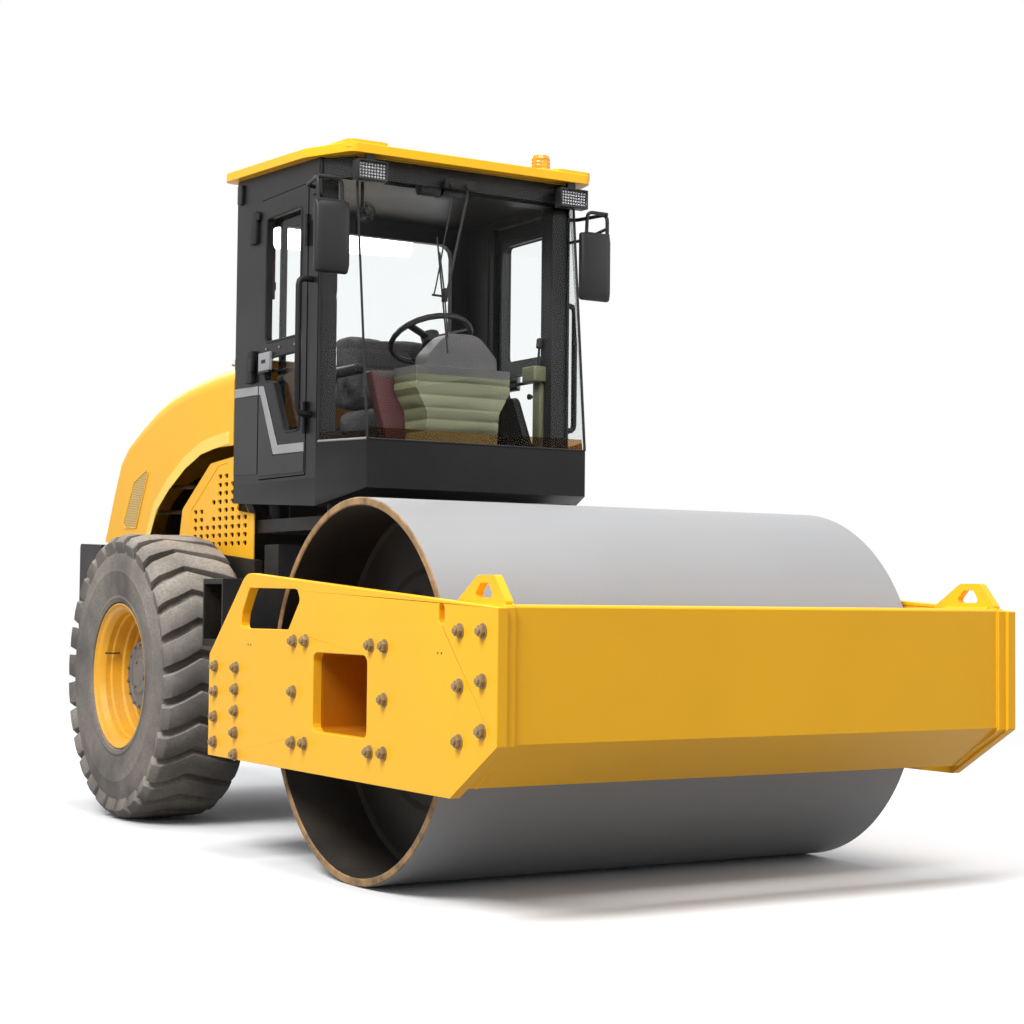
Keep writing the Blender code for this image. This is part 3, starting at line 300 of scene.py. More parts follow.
# a finish's colour, sheen, change of sheen, change of tone, grain and bump height,
# then its dust's colour, amount, patches and gain on top, then edge wear, bare colour, metal and gloss
finishTable = {
    "yellowPaint": ((255, 188, 34), 0.4, 0.06, 0.03, 240.0, 0.0002,
        (200, 150, 70), 0.12, 1.6, 0.2, 0.35, (120, 84, 40), 0.0, 0.22),
    # a darker copy of the yellow paint: painted shade for the carrier in its recess, with real dust and
    # wear
    "yellowShade": ((186, 112, 8), 0.5, 0.06, 0.05, 120.0, 0.0003,
        (120, 84, 40), 0.25, 4.0, 0.3, 0.3, (110, 84, 50), 0.0, 0.2),
    "yellowRim": ((244, 176, 34), 0.42, 0.1, 0.06, 120.0, 0.0003,
        (150, 120, 80), 0.45, 5.0, 0.3, 0.6, (110, 84, 50), 0.0, 0.5),
    "blackPaint": ((19, 18, 19), 0.4, 0.08, 0.05, 200.0, 0.0002,
        (88, 84, 80), 0.1, 2.5, 0.4, 0.2, (80, 78, 76), 0.0, 0.22),
    "frameBlack": ((17, 16, 17), 0.5, 0.1, 0.08, 90.0, 0.0004,
        (96, 84, 70), 0.2, 3.5, 0.6, 0.3, (80, 70, 60), 0.0, 0.3),
    "drumSteel": ((152, 152, 153), 0.46, 0.06, 0.03, 160.0, 0.0003,
        (150, 140, 126), 0.1, 2.0, 0.0, 0.9, (150, 112, 72), 0.1, 0.25),
    "darkSteel": ((62, 60, 60), 0.5, 0.12, 0.08, 110.0, 0.0004,
        (112, 96, 76), 0.4, 4.0, 0.4, 0.4, (130, 110, 90), 0.5, 0.5),
    "tyreRubber": ((92, 88, 85), 0.85, 0.08, 0.12, 55.0, 0.001,
        (176, 166, 154), 0.75, 3.0, 0.7, 0.6, (150, 140, 128), 0.0, 0.3),
    "hubSteel": ((104, 102, 100), 0.45, 0.1, 0.08, 110.0, 0.0004,
        (150, 132, 106), 0.4, 9.0, 0.3, 0.4, (150, 130, 110), 0.4, 0.5),
    "drumRust": ((166, 132, 92), 0.7, 0.15, 0.25, 60.0, 0.001,
        (60, 50, 44), 0.9, 14.0, 0.0, 0.0, (80, 60, 40), 0.1, 0.5),
    "drumInside": ((30, 29, 29), 0.62, 0.1, 0.1, 70.0, 0.0006,
        (92, 78, 60), 0.3, 5.0, 0.4, 0.25, (110, 90, 66), 0.1, 0.5),
    "boltSteel": ((150, 128, 88), 0.5, 0.12, 0.15, 120.0, 0.0003,
        (110, 80, 50), 0.5, 20.0, 0.2, 0.6, (190, 180, 160), 0.3, 0.5),
    "chromeRod": ((220, 220, 222), 0.14, 0.04, 0.02, 60.0, 0.0,
        (120, 110, 96), 0.12, 6.0, 0.2, 0.0, (120, 110, 96), 1.0, 0.5),
    "seatCloth": ((52, 50, 52), 0.85, 0.05, 0.08, 420.0, 0.0006,
        (110, 104, 98), 0.12, 5.0, 0.2, 0.0, (80, 78, 76), 0.0, 0.5),
    "olivePlastic": ((84, 84, 58), 0.5, 0.08, 0.05, 300.0, 0.0004,
        (120, 116, 92), 0.2, 3.0, 0.3, 0.2, (160, 160, 130), 0.0, 0.5),
    "blackPlastic": ((17, 17, 18), 0.48, 0.08, 0.06, 320.0, 0.0004,
        (88, 84, 78), 0.12, 4.0, 0.3, 0.15, (80, 78, 76), 0.0, 0.35),
    "sealRubber": ((18, 17, 18), 0.6, 0.06, 0.05, 200.0, 0.0002,
        (80, 76, 70), 0.1, 6.0, 0.2, 0.0, (60, 58, 56), 0.0, 0.3),
    "greySeal": ((138, 136, 134), 0.5, 0.06, 0.05, 200.0, 0.0002,
        (80, 76, 70), 0.3, 9.0, 0.0, 0.0, (60, 58, 56), 0.0, 0.5),
    "dashGrey": ((52, 49, 50), 0.5, 0.06, 0.05, 260.0, 0.0004,
        (120, 114, 104), 0.2, 5.0, 0.3, 0.0, (90, 90, 90), 0.0, 0.5),
    "maroonBox": ((70, 24, 24), 0.45, 0.06, 0.06, 160.0, 0.0003,
        (110, 96, 90), 0.15, 5.0, 0.3, 0.0, (60, 40, 40), 0.0, 0.5),
    "yellowPale": ((255, 216, 92), 0.45, 0.06, 0.05, 120.0, 0.0003,
        (150, 136, 104), 0.2, 4.0, 0.3, 0.1, (120, 100, 70), 0.0, 0.5),
    "silverTrim": ((150, 150, 152), 0.42, 0.08, 0.05, 200.0, 0.0002,
        (110, 106, 100), 0.2, 6.0, 0.2, 0.2, (110, 110, 110), 0.2, 0.5),
    "greyPanel": ((32, 32, 33), 0.5, 0.06, 0.05, 260.0, 0.0003,
        (96, 92, 88), 0.12, 4.0, 0.2, 0.15, (90, 90, 90), 0.0, 0.35),
    "lampWhite": ((238, 238, 236), 0.35, 0.05, 0.02, 200.0, 0.0,
        (150, 146, 140), 0.1, 9.0, 0.0, 0.0, (200, 200, 200), 0.0, 0.5),
    "lampCell": ((172, 172, 176), 0.25, 0.05, 0.02, 200.0, 0.0,
        (120, 116, 110), 0.1, 9.0, 0.0, 0.0, (200, 200, 200), 0.6, 0.5),
    "amberFoot": ((226, 166, 50), 0.4, 0.05, 0.04, 200.0, 0.0,
        (150, 130, 100), 0.2, 9.0, 0.2, 0.0, (200, 200, 200), 0.0, 0.5),
}


def makeFinish(name, colour, sheen, sheenChange, tone, grain, bump, dust, amount, patches, upward, wear,
               under, metal, gloss):
    finish = bpy.data.materials.new(name)
    finish.use_nodes = True
    tree = finish.node_tree
    shader = tree.nodes["Principled BSDF"]
    base = placeGroup(tree, grainGroup, colour=linear(*colour), tone=tone, sheen=sheen,
                      sheenChange=sheenChange, grain=grain)
    last = base.outputs["Colour"]
    if wear > 0:
        rubbed = placeGroup(tree, wearGroup, colour=last, under=linear(*under), amount=wear, width=0.005)
        last = rubbed.outputs["Colour"]
    dusty = placeGroup(tree, dustGroup, colour=last, dust=linear(*dust), amount=amount, patches=patches,
                       upward=upward)
    tree.links.new(dusty.outputs["Colour"], shader.inputs["Base Color"])
    dull = mathNode(tree, "ADD", base.outputs["Roughness"],
                    mathNode(tree, "MULTIPLY", dusty.outputs["Mask"], 0.4), clamp=True)
    tree.links.new(dull, shader.inputs["Roughness"])
    shader.inputs["Metallic"].default_value = metal
    shader.inputs["Specular IOR Level"].default_value = gloss
    if bump > 0:
        raised = addNode(tree, "Bump")
        raised.inputs["Distance"].default_value = bump
        tree.links.new(base.outputs["Height"], raised.inputs["Height"])
        tree.links.new(raised.outputs["Normal"], shader.inputs["Normal"])
    return finish


finishes = {name: makeFinish(name, *values) for name, values in finishTable.items()}


glassBending = 1.12


def makeGlass(name, tint):
    # clear to lamp rays, so that the cab's inside is lit
    glass = bpy.data.materials.new(name)
    glass.use_nodes = True
    tree = glass.node_tree
    shader = tree.nodes["Principled BSDF"]
    shader.inputs["Base Color"].default_value = tint
    shader.inputs["Roughness"].default_value = 0.0
    shader.inputs["Transmission Weight"].default_value = 1.0
    shader.inputs["IOR"].default_value = glassBending
    clear = addNode(tree, "BsdfTransparent")
    clear.inputs["Color"].default_value = tint
    rays = addNode(tree, "LightPath")
    choose = addNode(tree, "MixShader")
    tree.links.new(rays.outputs["Is Shadow Ray"], choose.inputs[0])
    tree.links.new(shader.outputs[0], choose.inputs[1])
    tree.links.new(clear.outputs[0], choose.inputs[2])
    tree.links.new(choose.outputs[0], tree.nodes["Material Output"].inputs["Surface"])
    return glass


finishes["cabGlass"] = makeGlass("cabGlass", linear(250, 252, 252))
finishes["lampLens"] = makeGlass("lampLens", linear(250, 250, 250))


def makeHoleGroup():
    # rows of fine round holes on an upright side, painted as dark dots: painted shade seen through them
    group, start, end = newGroup("fineHoles",
                                 (("Colour", "Color", (0.5, 0.5, 0.5, 1)), ("Pitch", "Float", 0.01),
                                  ("Radius", "Float", 0.003)), (("Colour", "Color"),))
    place, parts = addNode(group, "TexCoord"), addNode(group, "SeparateXYZ")
    group.links.new(place.outputs["Object"], parts.inputs[0])
    half = mathNode(group, "MULTIPLY", start.outputs["Pitch"], 0.5)
    spans = []
    for axis in ("Y", "Z"):
        along = mathNode(group, "SUBTRACT",
                         mathNode(group, "MODULO", parts.outputs[axis], start.outputs["Pitch"]), half)
        spans.append(mathNode(group, "MULTIPLY", along, along))
    reach = mathNode(group, "MULTIPLY", start.outputs["Radius"], start.outputs["Radius"])
    inside = mathNode(group, "LESS_THAN", mathNode(group, "ADD", spans[0], spans[1]), reach)
    # the dots' dark colour is painted shade behind the holes
    group.links.new(mixColour(group, inside, start.outputs["Colour"], linear(40, 32, 24)),
                    end.inputs["Colour"])
    return group


holeGroup = makeHoleGroup()


def makeVentFinish():
    finish = makeFinish("ventMesh", (226, 184, 96), *finishTable["yellowPale"][1:])
    tree = finish.node_tree
    target = tree.nodes["Principled BSDF"].inputs["Base Color"]
    # the vent's holes are dark dots of painted shade
    shadedHoles = placeGroup(tree, holeGroup, colour=target.links[0].from_socket, pitch=0.009, radius=0.0026)
    tree.links.new(shadedHoles.outputs["Colour"], target)
    return finish


finishes["ventMesh"] = makeVentFinish()
finishes["tintStrip"] = makeGlass("tintStrip", linear(176, 140, 96))


def makeAmber():
    amber = bpy.data.materials.new("amberLens")
    amber.use_nodes = True
    shader = amber.node_tree.nodes["Principled BSDF"]
    shader.inputs["Base Color"].default_value = linear(236, 160, 40)
    shader.inputs["Roughness"].default_value = 0.18
    shader.inputs["Transmission Weight"].default_value = 0.35
    return amber


finishes["amberLens"] = makeAmber()
print("finishes made")


# ---------- pieces that keep the frame's shape ----------
def faired(piece, width):
    # soft edges that leave the flat faces looking flat
    edge = piece.modifiers.new("edge", "BEVEL")
    edge.width = width
    edge.segments = 2
    edge.limit_method = "ANGLE"
    edge.angle_limit = math.radians(38)
    only(piece)
    bpy.ops.object.shade_smooth_by_angle(angle=math.radians(40))
    even = piece.modifiers.new("even", "WEIGHTED_NORMAL")
    even.keep_sharp = True
    even.weight = 80
    return applyAll(piece)


def bareCopy(node, name):
    # a copy of a frame piece with its doubled vertices merged
    piece = nodes[node].copy()
    piece.data = nodes[node].data.copy()
    for key in list(piece.keys()):
        del piece[key]
    piece.parent = None
    piece.name = name
    bpy.context.scene.collection.objects.link(piece)
    editStart(piece, pick=True)
    bpy.ops.mesh.remove_doubles(threshold=mergeReach)
    return piece


def refinedCopy(node, finish, width):
    words = node.split("_")
    piece = bareCopy(node, words[0] + "".join(word.capitalize() for word in words[1:]) + "Skin")
    editEnd()
    if width > 0:
        faired(piece, width)
    else:
        rounded(piece, 0.0)
    return dress(piece, finish, bodyOf[node], (node,))


skinTable = {
    # the carrier's darker yellow is painted shade of its recess
    "drum_carrier": ("yellowShade", 0.003),
    "front_beam": ("yellowPaint", 0.003),
    "rear_beam": ("frameBlack", 0.004),
    "chassis": ("frameBlack", 0.004),
    "counterweight": ("frameBlack", 0.008),
    "axle_housing": ("darkSteel", 0.004),
    "engine_block": ("darkSteel", 0.008),
    "access_step": ("frameBlack", 0.003),
    "side_panel": ("yellowPaint", 0.0015),
    "hood": ("yellowPaint", 0.0015),
    "cab_platform": ("blackPaint", 0.005),
    "cab_frame": ("blackPaint", 0.003),
    "cab_roof": ("yellowPaint", 0.002),
    "seat_base": ("blackPlastic", 0.006),
    "console": ("olivePlastic", 0.006),
    "steering_wheel": ("blackPlastic", 0.001),
    "grab_rail": ("blackPaint", 0.0),
    "windscreen": ("cabGlass", 0.0),
    "rear_glass": ("cabGlass", 0.0),
    "door_glass": ("cabGlass", 0.0),
    "door": ("blackPaint", 0.003),
    "steer_barrel": ("yellowPaint", 0.002),
    "steer_rod": ("chromeRod", 0.001),
}


def stemOf(node):
    return node.replace("_right", "").replace("_left", "")


skins = {}
for node in sorted(nodes):
    if stemOf(node) in skinTable:
        skins[node] = refinedCopy(node, *skinTable[stemOf(node)])
print("skins made:", len(skins))


# ---------- modelling by hand ----------
def slab(name, low, high):
    clearSelection()
    middle = [(a + b) / 2 for a, b in zip(low, high)]
    bpy.ops.mesh.primitive_cube_add(size=1.0, location=middle, scale=[b - a for a, b in zip(low, high)])
    piece = bpy.context.object
    piece.name = name
    return settle(piece)


def sideSlab(name, side, low, high):
    # a slab given for the left-hand side, or its mirror on the right
    if side > 0:
        return slab(name, low, high)
    return slab(name, (-high[0], low[1], low[2]), (-low[0], high[1], high[2]))


def drumOf(name, radius, depth, place, axis="X", steps=24, tip=None):
    clearSelection()
    turn = {"X": (0, math.pi / 2, 0), "Y": (math.pi / 2, 0, 0),
            "Z": (0, 0, 0)}[axis] if isinstance(axis, str) else axis
    bpy.ops.mesh.primitive_cone_add(vertices=steps, radius1=radius, radius2=radius if tip is None else tip,
                                    depth=depth, location=place, rotation=turn)
    piece = bpy.context.object
    piece.name = name
    return settle(piece)


def lathe(name, profile, place, axis="X", steps=48, closed=True):
    # a vertex is extruded along the profile (radius, along) and spun round the axis
    clearSelection()
    bpy.ops.mesh.primitive_plane_add(size=0.001, location=(0, 0, 0))
    piece = bpy.context.object
    piece.name = name
    editStart(piece, "VERT", True)
    bpy.ops.mesh.merge(type="CENTER")
    r0, a0 = profile[0]
    bpy.ops.transform.translate(value=(a0, 0, r0))
    path = list(profile[1:]) + ([profile[0]] if closed else [])
    for r, a in path:
        bpy.ops.mesh.extrude_region_move(TRANSFORM_OT_translate={"value": (a - a0, 0, r - r0)})
        r0, a0 = r, a
    bpy.ops.mesh.select_all(action="SELECT")
    bpy.ops.mesh.remove_doubles(threshold=mergeReach)
    bpy.ops.mesh.select_all(action="SELECT")
    bpy.ops.mesh.spin(steps=steps, angle=math.tau, center=(0, 0, 0), axis=(1, 0, 0), dupli=False)
    bpy.ops.mesh.select_all(action="SELECT")
    bpy.ops.mesh.remove_doubles(threshold=mergeReach)
    bpy.ops.mesh.normals_make_consistent(inside=False)
    editEnd()
    if axis == "Z":
        piece.rotation_euler = (0, -math.pi / 2, 0)
    if axis == "Y":
        piece.rotation_euler = (0, 0, math.pi / 2)
    if not isinstance(axis, str):
        piece.rotation_euler = axis
    piece.location = place
    return settle(piece)


def pipe(name, points, radius, turns=3, soft=0.0):
    # a bar or hose along points, corners softened
    run = [Vector(points[0])]
    for before, here, after in zip(points, points[1:], points[2:]):
        here, before, after = Vector(here), Vector(before), Vector(after)
        reach = min(soft, (before - here).length * 0.45, (after - here).length * 0.45)
        a, b = here + (before - here).normalized() * reach, here + (after - here).normalized() * reach
        for step in range(5 if reach > 0 else 1):
            t = step / 4
            run.append(a.lerp(here, t).lerp(here.lerp(b, t), t) if reach > 0 else here)
    run.append(Vector(points[-1]))
    clearSelection()
    bpy.ops.curve.primitive_nurbs_path_add()
    piece = bpy.context.object
    piece.name = name
    curve = piece.data
    curve.splines.clear()
    line = curve.splines.new("POLY")
    line.points.add(len(run) - 1)
    for knot, point in zip(line.points, run):
        knot.co = (*point, 1.0)
    curve.dimensions = "3D"
    curve.bevel_depth = radius
    curve.bevel_resolution = turns
    curve.use_fill_caps = True
    piece.location = (0, 0, 0)
    only(piece)
    bpy.ops.object.convert(target="MESH")
    piece = bpy.context.object
    piece.name = name
    outward(piece)
    bpy.ops.object.shade_smooth_by_angle(angle=math.radians(40))
    return settle(piece)


def poly(name, outline, plane, low, high):
    # a flat outline (a cube's face redrawn vertex by vertex) given its thickness
    clearSelection()
    bpy.ops.mesh.primitive_plane_add(size=0.001, location=(0, 0, 0))
    piece = bpy.context.object
    piece.name = name
    spot = {"YZ": lambda p: (low, p[0], p[1]), "XZ": lambda p: (p[0], low, p[1]),
            "XY": lambda p: (p[0], p[1], low)}[plane]
    editStart(piece, "VERT", True)
    bpy.ops.mesh.merge(type="CENTER")
    last = Vector((0, 0, 0))
    first = Vector(spot(outline[0]))
    bpy.ops.transform.translate(value=first)
    last = first
    for point in outline[1:]:
        here = Vector(spot(point))
        bpy.ops.mesh.extrude_region_move(TRANSFORM_OT_translate={"value": here - last})
        last = here
    bpy.ops.mesh.select_all(action="SELECT")
    bpy.ops.mesh.edge_face_add()
    push = {"YZ": (high - low, 0, 0), "XZ": (0, high - low, 0), "XY": (0, 0, high - low)}[plane]
    bpy.ops.mesh.extrude_region_move(TRANSFORM_OT_translate={"value": push})
    bpy.ops.mesh.select_all(action="SELECT")
    bpy.ops.mesh.normals_make_consistent(inside=False)
    editEnd()
    return settle(piece)


def copyTo(piece, shift=(0, 0, 0), turn=None):
    made = piece.copy()
    made.data = piece.data.copy()
    bpy.context.scene.collection.objects.link(made)
    made.data.transform(Matrix.Translation(shift) if turn is None else turn)
    return made


def joined(name, pieces):
    clearSelection()
    for piece in pieces:
        piece.select_set(True)
    bpy.context.view_layer.objects.active = pieces[0]
    if len(pieces) > 1:
        bpy.ops.object.join()
    pieces[0].name = name
    return pieces[0]


def ringOf(name, count, circle, radius, depth, centre, start=0.0, steps=6):
    # equal short drums standing on a circle about the x direction
    made = []
    for index in range(count):
        angle = math.tau * index / count + start
        spot = Vector(centre) + Vector((0, circle * math.sin(angle), circle * math.cos(angle)))
        made.append(drumOf(name, radius, depth, spot, "X", steps))
    return made


def cutWith(piece, *tools):
    for tool in tools:
        change = piece.modifiers.new("cut", "BOOLEAN")
        change.operation = "DIFFERENCE"
        change.solver = "EXACT"
        change.object = tool
    applyAll(piece)
    for tool in tools:
        bpy.data.objects.remove(tool, do_unlink=True)
    return piece


def sliced(piece, point, normal):
    editStart(piece, pick=True)
    bpy.ops.mesh.bisect(plane_co=point, plane_no=normal)
    editEnd()
    return piece


def shift(piece, inside, value):
    # moves the vertices that a test picks
    editStart(piece, "VERT")
    editEnd()
    for vertex in piece.data.vertices:
        vertex.select = bool(inside(vertex.co))
    bpy.ops.object.mode_set(mode="EDIT")
    bpy.ops.transform.translate(value=value)
    editEnd()
    return piece


# ---------- wheels ----------
wheelSettings = dict(lugs=28, lugShare=0.71, depth=0.036, rise=0.078, peak=0.045,
                     carcass=((0.3180, 0.166), (0.345, 0.173), (0.352, 0.200), (0.372, 0.206),
                              (0.382, 0.203), (0.43, 0.212), (0.475, 0.2165), (0.500, 0.2185),
                              (0.507, 0.2160), (0.545, 0.214), (0.585, 0.204), (0.618, 0.188),
                              (0.636, 0.160), (0.643, 0.08)))


def makeTyre(word, side):
    values = wheelSettings
    centre = Vector((side * wheelCentre[0], *wheelCentre[1:]))
    half = list(values["carcass"])
    profile = [(r, a * side) for r, a in half] + [(r, -a * side) for r, a in reversed(half)]
    carcass = lathe("tyreCarcass" + word, profile, centre, "X", 112)
    radius, depth = 0.6785, values["depth"]
    pitch = math.tau * radius / values["lugs"]
    long = pitch * values["lugShare"] / 2
    low = radius - depth - 0.012
    # one lug on top of the wheel, then its copies round the axis
    lug = slab("lug", (-0.222, -long, low), (0.222, long, radius))
    for x in (values["peak"] * side, 0.19, -0.19, 0.13, -0.13):
        sliced(lug, (x, 0, 0), (1, 0, 0))
    sliced(lug, (0, 0, 0), (0, 1, 0))
    shift(lug, lambda c: abs(c.y) > 0.01 and c.z > radius - 0.001, (0, 0, -0.0055))
    for x, drop in ((0.19, 0.009), (0.222, 0.040)):
        shift(lug, lambda c: abs(abs(c.x) - x) < 0.002 and c.z > low + 0.01, (0, 0, -drop))
    shift(lug, lambda c: abs(abs(c.x) - 0.222) < 0.002 and c.z < low + 0.002, (0, 0, -0.062))
    shift(lug, lambda c: abs(c.x - 0.222) < 0.002 and c.z < low - 0.04, (-0.022, 0, 0))
    shift(lug, lambda c: abs(c.x + 0.222) < 0.002 and c.z < low - 0.04, (0.022, 0, 0))
    shift(lug, lambda c: abs(c.x - 0.222) < 0.002, (-0.002, 0, 0))
    shift(lug, lambda c: abs(c.x + 0.222) < 0.002, (0.002, 0, 0))
    shift(lug, lambda c: abs(abs(c.x) - 0.19) < 0.002 and c.z < low + 0.002, (0, 0, -0.02))
    # the chevron: each station slides back by its distance from the peak
    for x, slide in ((values["peak"] * side, values["rise"]), (0.13 * side, values["rise"] * 0.42),
                     (-0.13 * side, values["rise"] * 0.26), (0.19 * side, 0.010), (0.220 * side, 0.0),
                     (0.200 * side, 0.0), (-0.19 * side, 0.004)):
        shift(lug, lambda c: abs(c.x - x) < 0.002, (0, slide - 0.03, 0))
    shift(lug, lambda c: c.x * side < -0.195, (0, -0.03, 0))
    shift(lug, lambda c: abs(c.x) > 0.18 and c.y > 0.0 and c.z > low, (0, -0.006, 0))
    for vertex in lug.data.vertices:
        reach = math.hypot(vertex.co.y, vertex.co.z)
        if reach > radius:
            vertex.co.z = math.sqrt(radius ** 2 - vertex.co.y ** 2)
    rounded(lug, 0.004, 2, 30, 30)
    lugs = []
    for index in range(values["lugs"]):
        spin = Matrix.Rotation(math.tau * index / values["lugs"], 4, "X")
        lugs.append(copyTo(lug, turn=Matrix.Translation(centre) @ spin))
    bpy.data.objects.remove(lug, do_unlink=True)
    only(carcass)
    bpy.ops.object.shade_smooth_by_angle(angle=math.radians(24))
    tyre = joined("tyre" + word, [carcass] + lugs)
    dress(tyre, "tyreRubber", "wheel_" + word.lower(), ("tyre_" + word.lower(),))


rimSettings = dict(steps=96,
                   outer=((0.3455, 0.1945), (0.3455, 0.190), (0.3175, 0.170), (0.3175, -0.17),
                          (0.3455, -0.19), (0.3415, -0.1945), (0.300, -0.172), (0.300, -0.063),
                          (0.168, -0.063), (0.168, -0.045), (0.262, -0.045), (0.272, -0.030),
                          (0.272, 0.020), (0.281, 0.028), (0.281, 0.062), (0.292, 0.070), (0.292, 0.118),
                          (0.300, 0.124), (0.300, 0.150), (0.316, 0.176), (0.333, 0.186), (0.339, 0.1965)),
                   hub=((0.0, 0.102), (0.050, 0.102), (0.058, 0.096), (0.082, 0.094), (0.092, 0.082),
                        (0.128, 0.080), (0.134, 0.0875), (0.158, 0.0875), (0.165, 0.080), (0.165, 0.052),
                        (0.160, 0.048), (0.160, 0.010), (0.165, 0.004), (0.165, -0.0635), (0.222, -0.0635),
                        (0.222, -0.084), (0.128, -0.092), (0.128, -0.199), (0.0, -0.199)),
                   bolts=(("nut", 14, 0.205, 0.0135, 0.026, -0.026, math.pi / 14, 6),
                          ("stud", 14, 0.205, 0.007, 0.016, -0.008, math.pi / 14, 10),
                          ("capBolt", 14, 0.146, 0.0085, 0.012, 0.090, 0.0, 6),
                          ("plug", 3, 0.068, 0.010, 0.012, 0.095, 0.4, 6)))


def makeRim(word, side):
    centre = Vector((side * wheelCentre[0], *wheelCentre[1:]))
    node = word.lower()
    rim = lathe("rim" + word, [(r, a * side) for r, a in rimSettings["outer"]], centre, "X",
                rimSettings["steps"])
    dress(rounded(rim, 0.0015, 2, 25, 30), "yellowRim", "wheel_" + node, ("rim_" + node,))
    profile = [(r, a * side) for r, a in rimSettings["hub"]]
    hub = lathe("hub" + word, profile, centre, "X", 48, closed=False)
    rounded(hub, 0.002, 2, 25, 30)
    parts = [hub]
    for name, count, circle, radius, depth, out, start, steps in rimSettings["bolts"]:
        parts += ringOf(name, count, circle, radius, depth, centre + Vector((side * out, 0, 0)), start,
                        steps)
    hub = joined("hub" + word, parts)
    dress(hub, "hubSteel", "wheel_" + node, ("hub_" + node,))
    # the tyre's air valve
    valve = pipe("valve" + word,
                 [centre + Vector((side * 0.09, 0.270, 0.10)), centre + Vector((side * 0.13, 0.262, 0.098)),
                  centre + Vector((side * 0.165, 0.268, 0.10))], 0.004, 2, 0.02)
    dress(valve, "darkSteel", "wheel_" + node)


for word, side in sides:
    makeTyre(word, side)
    makeRim(word, side)
print("wheels made")


# ---------- drum ----------
drumSettings = dict(radius=0.7168, half=1.0648, wall=0.030, edge=0.004, steps=180)


def makeDrum():
    values = drumSettings
    r, h, w, e = values["radius"], values["half"], values["wall"], values["edge"]
    axis = (0, drumY, drumZ)
    shell = lathe("drumShell",
                  [(r, h - e), (r - e, h), (r - w + e, h), (r - w, h - e), (r - w, -h + e), (r - w + e, -h),
                   (r - e, -h), (r, -h + e)], axis, "X", values["steps"])
    dress(rounded(shell, 0.0, 0, smooth=20), "drumSteel", "drum", ("drum_shell",))
    # rusty bare faces of the ends, and the dark inside
    shell.data.materials.append(finishes["drumRust"])
    shell.data.materials.append(finishes["drumInside"])
    for face in shell.data.polygons:
        middle = face.center
        away = math.hypot(middle.y - drumY, middle.z - drumZ)
        if abs(middle.x) > h - e:
            face.material_index = 1
        elif away < r - w / 2:
            face.material_index = 2


makeDrum()


discBolts = (("discBolt", 12, 0.192, 0.013, 0.020, 0.018, 0.0, 6),
             ("mount", 8, 0.335, 0.060, 0.030, 0.010, math.pi / 8, 24),
             ("mountBolt", 8, 0.335, 0.014, 0.045, 0.020, math.pi / 8, 6))


def makeDrumCore():
    # discs with a bolted hub and rubber mounts, inside each end
    for word, side in sides:
        axis = Vector((side * 0.745, drumY, drumZ))
        disc = lathe("drumDisc" + word,
                     [(0.6868, -0.012 * side), (0.6868, 0.010 * side), (0.46, 0.010 * side),
                      (0.44, -0.002 * side), (0.23, -0.002 * side), (0.22, 0.012 * side),
                      (0.165, 0.014 * side), (0.158, 0.112 * side), (0.104, 0.112 * side),
                      (0.104, -0.012 * side)], axis, "X", 96)
        rounded(disc, 0.0015, 2, 25, 28)
        parts = [disc]
        for name, count, circle, radius, depth, out, start, steps in discBolts:
            parts += ringOf(name, count, circle, radius, depth, axis + Vector((side * out, 0, 0)), start,
                            steps)
        disc = joined("drumDisc" + word, parts)
        dress(disc, "drumInside", "drum", ("drum_core",) if side < 0 else ())
        # a rounded weld where the disc meets the shell
        dress(lathe("drumWeld" + word,
                    [(0.6866, 0.010 * side), (0.6866, 0.024 * side), (0.672, 0.0105 * side)], axis, "X",
                    96), "drumInside", "drum")


makeDrumCore()
print("drum made")


# ---------- front frame ----------
def back(y):
    # a length behind the drum's axis, in the machine's frame
    return y + drumY


boltSettings = dict(columns=((1.093, 0.459, 0.771, 4), (0.882, 0.421, 0.772, 5), (0.342, 0.505, 0.892, 3),
                             (0.238, 0.508, 0.895, 2), (-0.292, 0.513, 0.891, 2), (-0.396, 0.515, 0.890, 3),
                             (-0.921, 0.591, 0.954, 3), (-1.068, 0.633, 0.956, 3)), face=1.15, tip=1.1778,
                    head=0.0205, washer=0.0255,
                    pinHoles=((0.745, 0.868), (0.770, 0.868), (-0.774, 0.877), (-0.798, 0.877)))


